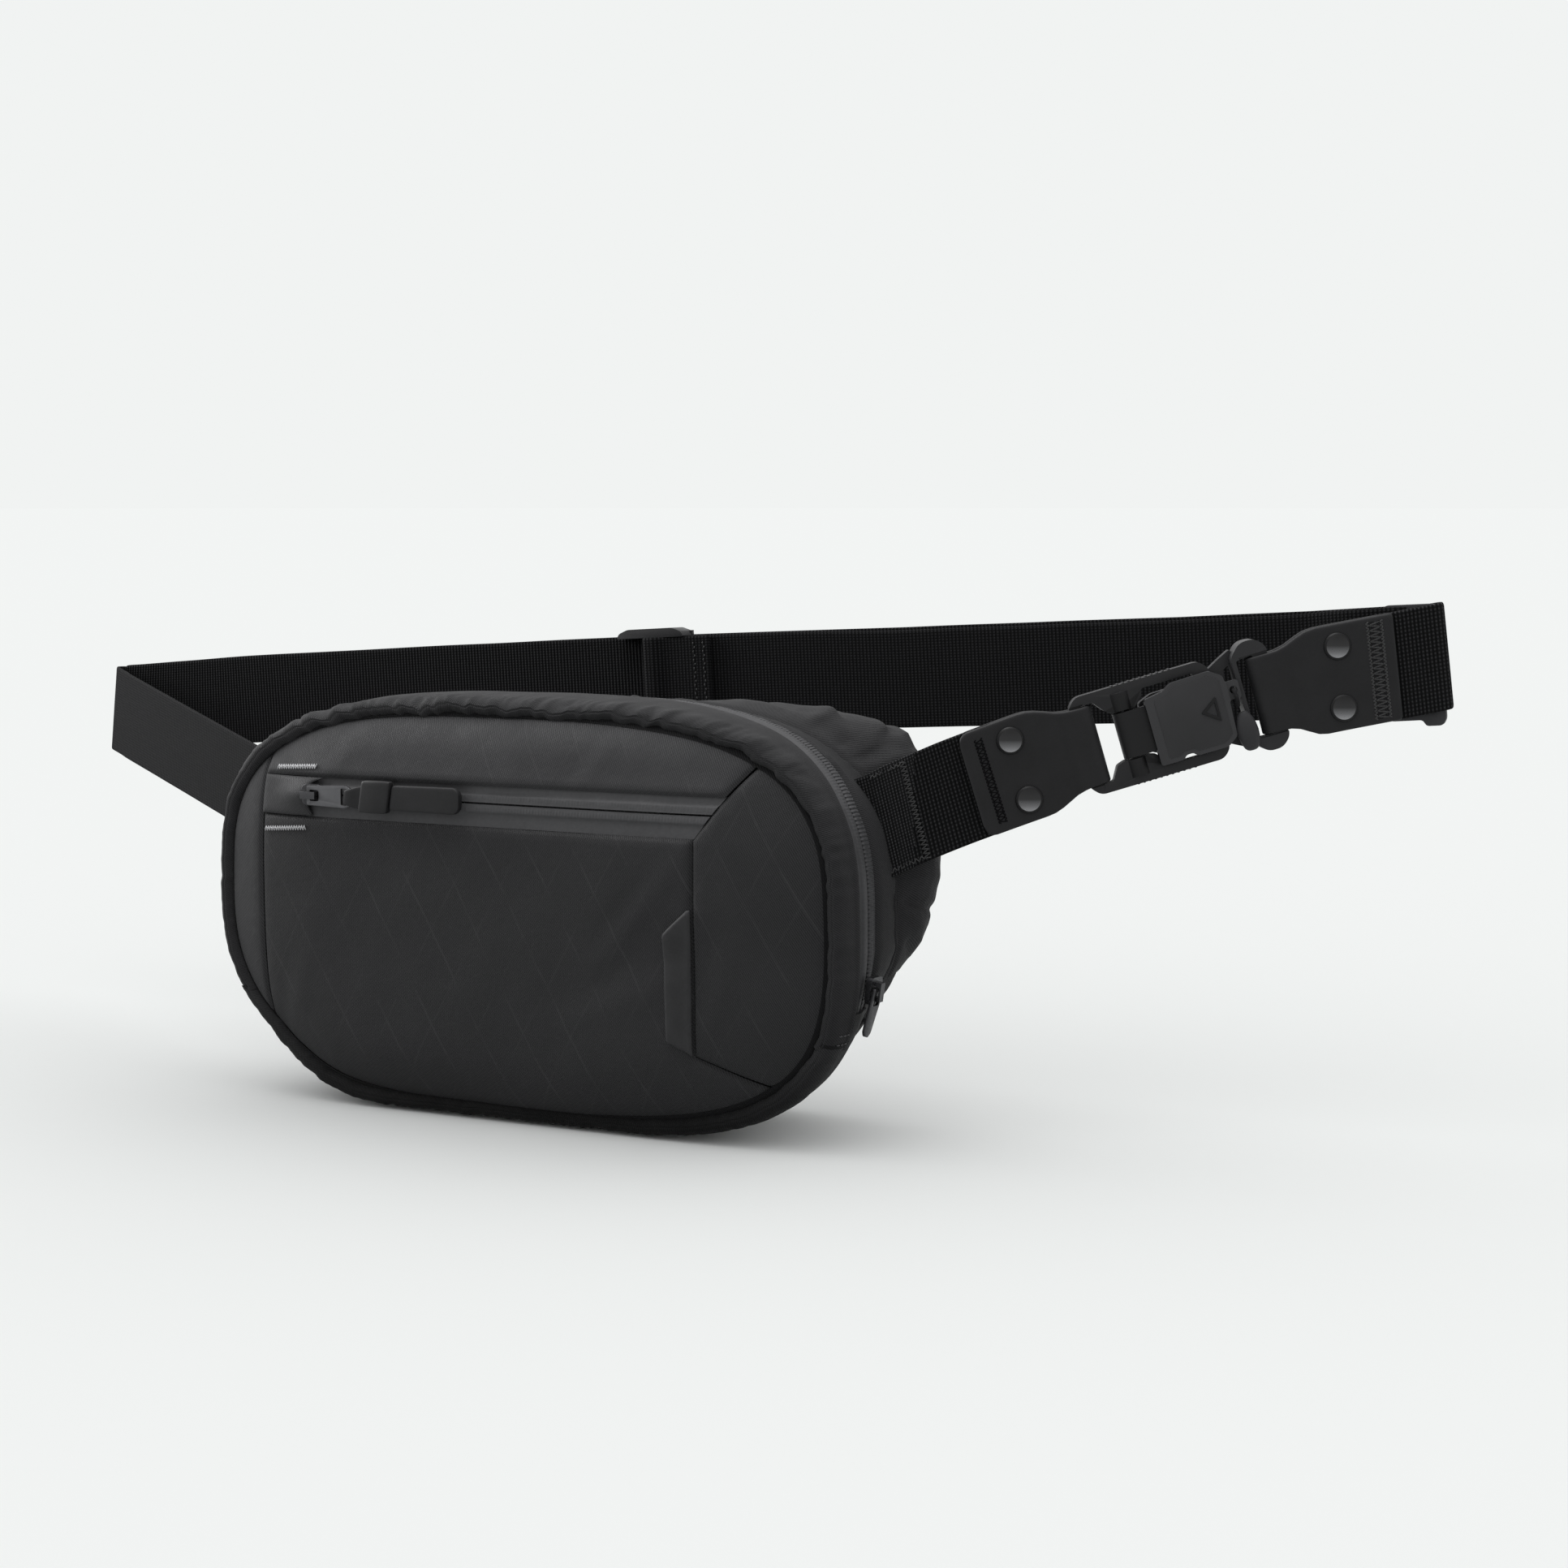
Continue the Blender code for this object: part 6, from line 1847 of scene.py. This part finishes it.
# ============================================================ sliders and pulls
def slider(name, fr, outline, top, posts, body, node):
    """Slider body with a bridge; posts are (a0, a1, n0, n1)."""
    ob = plate(name, fr, rounded(outline, .8, 3), 0.0, top, BLACK_METAL)
    for a0, a1, n0, n1 in posts:
        block(ob, JOIN, fr, box(a0, a1, -1.4, 1.4), n0, n1)
    place(finish(ob, 0.35), body, "black_metal", node)


PULL_X, PULL_Y = -83.0, front_y(0, POCKET_LINE) - 0.5
POCKET_AXES = ((1, 0, 0), (0, 0, 1), (0, -1, 0))
POCKET = Frame((PULL_X, PULL_Y, POCKET_LINE), *POCKET_AXES)
slider("pocket_slider_body", POCKET,
       [(-4.6, -3.0), (-2.8, -4.0), (3.4, -4.0), (4.8, -2.2), (4.8, 2.2), (3.4, 4.0),
        (-2.8, 4.0), (-4.6, 3.0)],
       2.2, ((-3.4, -1.6, 1.8, 4.9), (-3.4, 3.4, 4.1, 5.0), (2.0, 3.4, 1.8, 4.9)),
       "pocket_zip", "pocket_slider")
pull = plate("pocket_pull_body", POCKET,
             rounded([(-1.1, -3.6), (16.8, -4.2), (19.2, -3.2), (19.2, 3.2), (16.8, 4.2),
                      (-1.1, 3.6)], .8, 3), 2.55, 3.75, PULL_METAL,
             holes=[rounded(box(0.2, 4.4, -2.0, 2.0), .6, 3),
                    rounded(box(14.8, 17.6, -3.1, 3.1), .5, 3)])
place(finish(pull, 0.3), "pocket_pull", "black_metal", "pocket_pull")


def bar_loft(name, fr, sections, mat, body, slot, node, power, shear):
    """Loft of superelliptic sections (a, half width, n0, n1); shear(a) slants its ends."""
    rings = []
    for a, width, n0, n1 in sections:
        ring = []
        for j in range(28):
            t = 2 * math.pi * j / 28
            c, s = math.cos(t), math.sin(t)
            b = width * math.copysign(abs(c) ** (2 / power), c)
            n = (n0 + n1) / 2 + (n1 - n0) / 2 * math.copysign(abs(s) ** (2 / power), s)
            ring.append(fr.at(a + shear(a) * b, b, n))
        rings.append(ring)
    place(tube(name, rings, mat, zero_uv=True, angle=45), body, slot, node)


# sections: a, half width, n0, n1
LOOP = [(16.1, 2.3, 2.6, 3.8), (16.5, 2.7, 2.3, 4.1), (17.6, 3.0, 2.1, 4.3),
        (19.8, 3.5, 2.2, 4.2), (21.6, 4.0, 2.3, 4.0), (23.4, 4.3, 2.3, 3.9),
        (25.0, 4.4, 2.4, 3.8)]
KEEPER = [(24.3, 5.2, 2.1, 4.7), (24.6, 5.7, 1.8, 5.0), (25.4, 5.95, 1.7, 5.15),
          (31.0, 6.05, 1.7, 5.25), (36.0, 5.95, 1.7, 5.15), (36.8, 5.7, 1.8, 5.0),
          (37.1, 5.1, 2.1, 4.7)]
PULL_TAB = [(38.0, 4.1, 2.0, 4.1), (38.4, 4.45, 1.75, 4.35), (39.8, 4.65, 1.7, 4.4),
            (50, 4.75, 1.75, 4.3), (60.0, 4.85, 1.7, 4.4), (64.6, 4.9, 1.7, 4.4)]
for k in range(1, 8):       # rounded tip
    turn = k / 7 * 1.5
    PULL_TAB.append((65.2 + 3.3 * math.sin(turn), 1.8 + 3.1 * math.cos(turn),
                     1.7 + .25 * k / 7, 4.4 - .25 * k / 7))
GRIP = Frame((PULL_X, PULL_Y, POCKET_LINE + 0.7), *POCKET_AXES)
bar_loft("pull_loop", POCKET, LOOP, TAB_RUBBER, "pocket_pull", "webbing", "pull_ribbon",
         power=5, shear=lambda a: 0.10)
bar_loft("pull_keeper_sleeve", GRIP, KEEPER, MOULDED_RUBBER, "pocket_pull", "rubberised_tab",
         "pull_keeper", power=7, shear=lambda a: 0.16)
bar_loft("pull_tab_body", GRIP, PULL_TAB, MOULDED_RUBBER, "pocket_tab", "rubberised_tab",
         "pull_tab", power=7, shear=lambda a: 0.16 * (1 - smooth01((a - 38) / 20.0)))

# the main slider sits on an arc of this radius about x = 4.7, 20 below its centre
MOUTH_R = 135.0
TURN = -math.asin(20.0 / MOUTH_R)
MAIN = Frame((4.7 + MOUTH_R * math.cos(TURN), MOUTH_Y, MOUTH_R * math.sin(TURN)),
             (-math.sin(TURN), 0, math.cos(TURN)), (0, -1, 0),
             (math.cos(TURN), 0, math.sin(TURN)))
slider("main_slider_body", MAIN,
       [(-5.0, -2.6), (-3.0, -4.2), (3.6, -4.2), (5.0, -3.0), (5.0, 3.0), (3.6, 4.2),
        (-3.0, 4.2), (-5.0, 2.6)],
       2.0, ((2.0, 3.4, 1.6, 4.6), (-3.4, -2.0, 1.6, 4.6), (-3.4, 3.4, 3.8, 4.6)),
       "main_zip", "main_slider")
pull = plate("main_pull_body", MAIN,
             rounded([(-4.8, -1.3), (-14.4, 2.4), (-15.8, 4.2), (-15.4, 6.0), (-13.6, 7.0),
                      (-4.8, 4.9), (1.3, 3.3), (1.3, -3.3)], .6, 3), 2.35, 3.45, BLACK_METAL,
             holes=[rounded([(-4.8, -0.3), (0.1, -2.0), (0.1, 2.0), (-4.8, 3.5)], .6, 3)])
place(finish(pull, 0.3), "main_pull", "black_metal", "main_pull")

# ============================================================ wings
# creases that fan from the sewn corners: start (degrees, y), end (degrees, y), width, depth
FOLDS = [(27.0, 9.0, 41.0, 28.0, 2.6, -1.9), (25.5, 10.0, 33.0, 33.0, 2.4, -1.5),
         (30.0, 10.0, 50.0, 22.0, 3.0, -1.2), (24.0, 12.0, 20.5, 33.0, 3.4, 1.1),
         (3.5, 9.5, 1.0, 31.0, 2.0, -2.3), (1.0, 12.0, -8.5, 27.0, 2.8, 1.2),
         (7.0, 12.0, 5.6, 34.0, 3.0, 1.0), (36.0, 14.0, 39.0, 31.0, 3.2, 1.2),
         (14.0, 18.0, 18.0, 33.0, 4.0, -0.9), (-3.0, 12.0, -7.0, 22.0, 2.0, -1.0)]
MM_PER_DEG = 2.4
WING_YS = ([7.4, 7.9, 8.5, 9.3] + [10.2 + 1.05 * i for i in range(26)] + [37.4, 38.2, 38.7])


def wing_folds(deg, y):
    u = deg * MM_PER_DEG
    d = 0.0
    for deg0, ay, deg1, by, width, depth in FOLDS:
        ax, bx = deg0 * MM_PER_DEG, deg1 * MM_PER_DEG
        length2 = (bx - ax) ** 2 + (by - ay) ** 2
        t = ((u - ax) * (bx - ax) + (y - ay) * (by - ay)) / length2
        t = min(max(t, 0.0), 1.0)
        r = math.hypot(u - ax - (bx - ax) * t, y - ay - (by - ay) * t) / width
        if r < 3:
            d += (1.9 if deg0 > 20 else 1.1) * depth * math.exp(-r * r) * (1 - 0.55 * t)
    return d


def wing(name, side, deg0, deg1, node):
    """Creased fabric wing on one side, pressed in along its edges."""
    def push(arc, k, phi, y):
        deg, _ = wing_side(phi)
        reach = wing_reach(phi)
        mask = smooth01(reach / 5.0) * smooth01((y - 7.6) / 4.0) * smooth01((38.8 - y) / 3.0)
        d = reach * interp(WING_SHARE, y)
        d += (wing_folds(deg, y) + 1.2 * wobble(deg * .09, y * .07, side * 3.0)
              + 0.45 * wobble(deg * .30, y * .16, side * 5.0)) * mask
        d -= 1.5 * (1 - smooth01((y - 7.4) / 1.6)) + 1.6 * (1 - smooth01((38.9 - y) / 1.4))
        return d - 1.6 * (1 - smooth01(reach / 0.9))

    place(strip(name, deg0, deg1, 330, lambda phi: [(y, None) for y in WING_YS], WING_FABRIC,
                push, thick=0.9, off=0.9), "bag_rear", "gusset_fabric", node)


wing("wing_patch_right", 1, -13.2, 58.2, "wing_right")
wing("wing_patch_left", -1, 183.0 - 58.2, 183.0 + 13.2, "wing_left")


# ============================================================ back pad
def back_outline(inset):
    points = [shell_point(phi, 38.0, inset) for phi in even_angles(0, 2 * math.pi, 150)[0][:-1]]
    return [(p.x, p.z) for p in points]


def back_pad():
    """Padded mesh panel with two upright grooves, side cross grooves and a rim groove."""
    outline = back_outline(-0.4)
    arr = np.array(outline)
    extra = []
    for o in (1.0, 2.2, 4.5):
        extra += back_outline(o - 0.4)
    extra += staggered(outline, -140, 140, -80.0, 80, 3.2, 2.8, 5.6)
    corners, triangles = triangulate(outline, extra=extra)
    top = []
    for x, z in corners:
        d = edge_dist(arr, (x, z))
        inner = smooth01((d - 4) / 8)
        y = 40.2 + 2.1 * smooth01(d / 16.0)
        for groove_x in (-43.0, 43.0):
            y -= 1.7 * bell(x, groove_x, 3.4) * inner
        if abs(x) >= 43:
            y -= 1.7 * bell(z, -4.0, 3.4) * inner
        y -= 0.9 * bell(d, 6.0, 1.5)
        y += 0.25 * wobble(x * .05, z * .05, 4.0)
        top.append((x, y - 1.4 * (1 - smooth01(d / 2.6)) ** 2, z))
    bottom = [(x, 38.5, z) for x, z in corners]
    place(slab("back_pad_skin", top, bottom, triangles, AIR_MESH, angle=50),
          "bag_rear", "gusset_fabric", "back_panel")


back_pad()

# ============================================================ CAD pieces kept as they are
for node_name, mat in (("back_foam_pad", FOAM), ("back_lining", LINING),
                       ("pocket_liner", LINING), ("lever_pin", BLACK_METAL),
                       ("magnet_lever", MAGNET), ("magnet_hook", MAGNET)):
    kept_materials = frame["nodes"][node_name].data.materials
    kept_materials.clear()
    kept_materials.append(mat)

# ============================================================ stage, light, camera
PAPER = (0.879, 0.896, 0.888, 1)


def studio_floor(seg=64):
    """Wide plain disc just under the object, finer near it; radii in metres."""
    mat = bpy.data.materials.new("floor_paper")
    mat.use_nodes = True
    inputs = mat.node_tree.nodes["Principled BSDF"].inputs
    inputs["Base Color"].default_value = PAPER
    inputs["Roughness"].default_value = 1.0
    inputs["Specular IOR Level"].default_value = 0.0
    radii = [0.0005, 1.5, 6.0, 30.0, 90.0]
    verts, faces = [], []
    for r in radii:
        for j in range(seg):
            t = 2 * math.pi * j / seg
            verts.append((r * math.cos(t), r * math.sin(t), -0.0002))
    for a in range(0, (len(radii) - 1) * seg, seg):
        b = a + seg
        faces += [(a + j, b + j, b + (j + 1) % seg, a + (j + 1) % seg) for j in range(seg)]
    me = bpy.data.meshes.new("studio_floor")
    me.from_pydata(verts, [], faces)
    me.materials.append(mat)
    ob = bpy.data.objects.new("studio_floor", me)
    scene.collection.objects.link(ob)
    return ob


def studio_world():
    """White light all round; the camera sees the floor's colour."""
    world = bpy.data.worlds.new("studio")
    scene.world = world
    world.use_nodes = True
    nodes, links = world.node_tree.nodes, world.node_tree.links
    light = nodes["Background"]
    light.inputs[0].default_value = (1.0, 1.0, 1.0, 1)
    light.inputs[1].default_value = 1.013
    backdrop = nodes.new("ShaderNodeBackground")
    backdrop.inputs[0].default_value = PAPER
    backdrop.inputs[1].default_value = 1.0
    path = nodes.new("ShaderNodeLightPath")
    mix = nodes.new("ShaderNodeMixShader")
    links.new(path.outputs["Is Camera Ray"], mix.inputs[0])
    links.new(light.outputs[0], mix.inputs[1])
    links.new(backdrop.outputs[0], mix.inputs[2])
    links.new(mix.outputs[0], nodes["World Output"].inputs[0])


floor_ob = studio_floor()
studio_world()

# the soft boxes light the object only, so that the floor stays even
lit = bpy.data.collections.new("lit_by_softboxes")
for ob in bpy.data.objects:
    if ob.type == "MESH" and ob is not floor_ob:
        lit.objects.link(ob)


def softbox(name, location, target, size, power):
    light = bpy.data.lights.new(name, "AREA")
    light.energy = power
    light.size = size
    ob = bpy.data.objects.new(name, light)
    ob.location = location
    aim = Vector(target) - Vector(location)
    ob.rotation_euler = aim.to_track_quat("-Z", "Y").to_euler()
    scene.collection.objects.link(ob)
    ob.light_linking.receiver_collection = lit


softbox("key_left", (-1.40, -0.10, 0.75), target=(-0.05, 0.0, 0.08), size=0.8, power=22.0)
softbox("top_soft", (-0.05, -0.15, 1.45), target=(0.0, 0.0, 0.08), size=0.9, power=22.0)

camera = bpy.data.cameras.new("photo_camera")
camera.lens = 74.53
camera.sensor_width = 36.0
camera.clip_end = 300.0
camera_ob = bpy.data.objects.new("photo_camera", camera)
camera_ob.location = (0.67298, -1.00483, 0.22774)
camera_ob.rotation_euler = (math.radians(85.0), 0.0, math.radians(30.0))
scene.collection.objects.link(camera_ob)
scene.camera = camera_ob

bpy.context.view_layer.update()
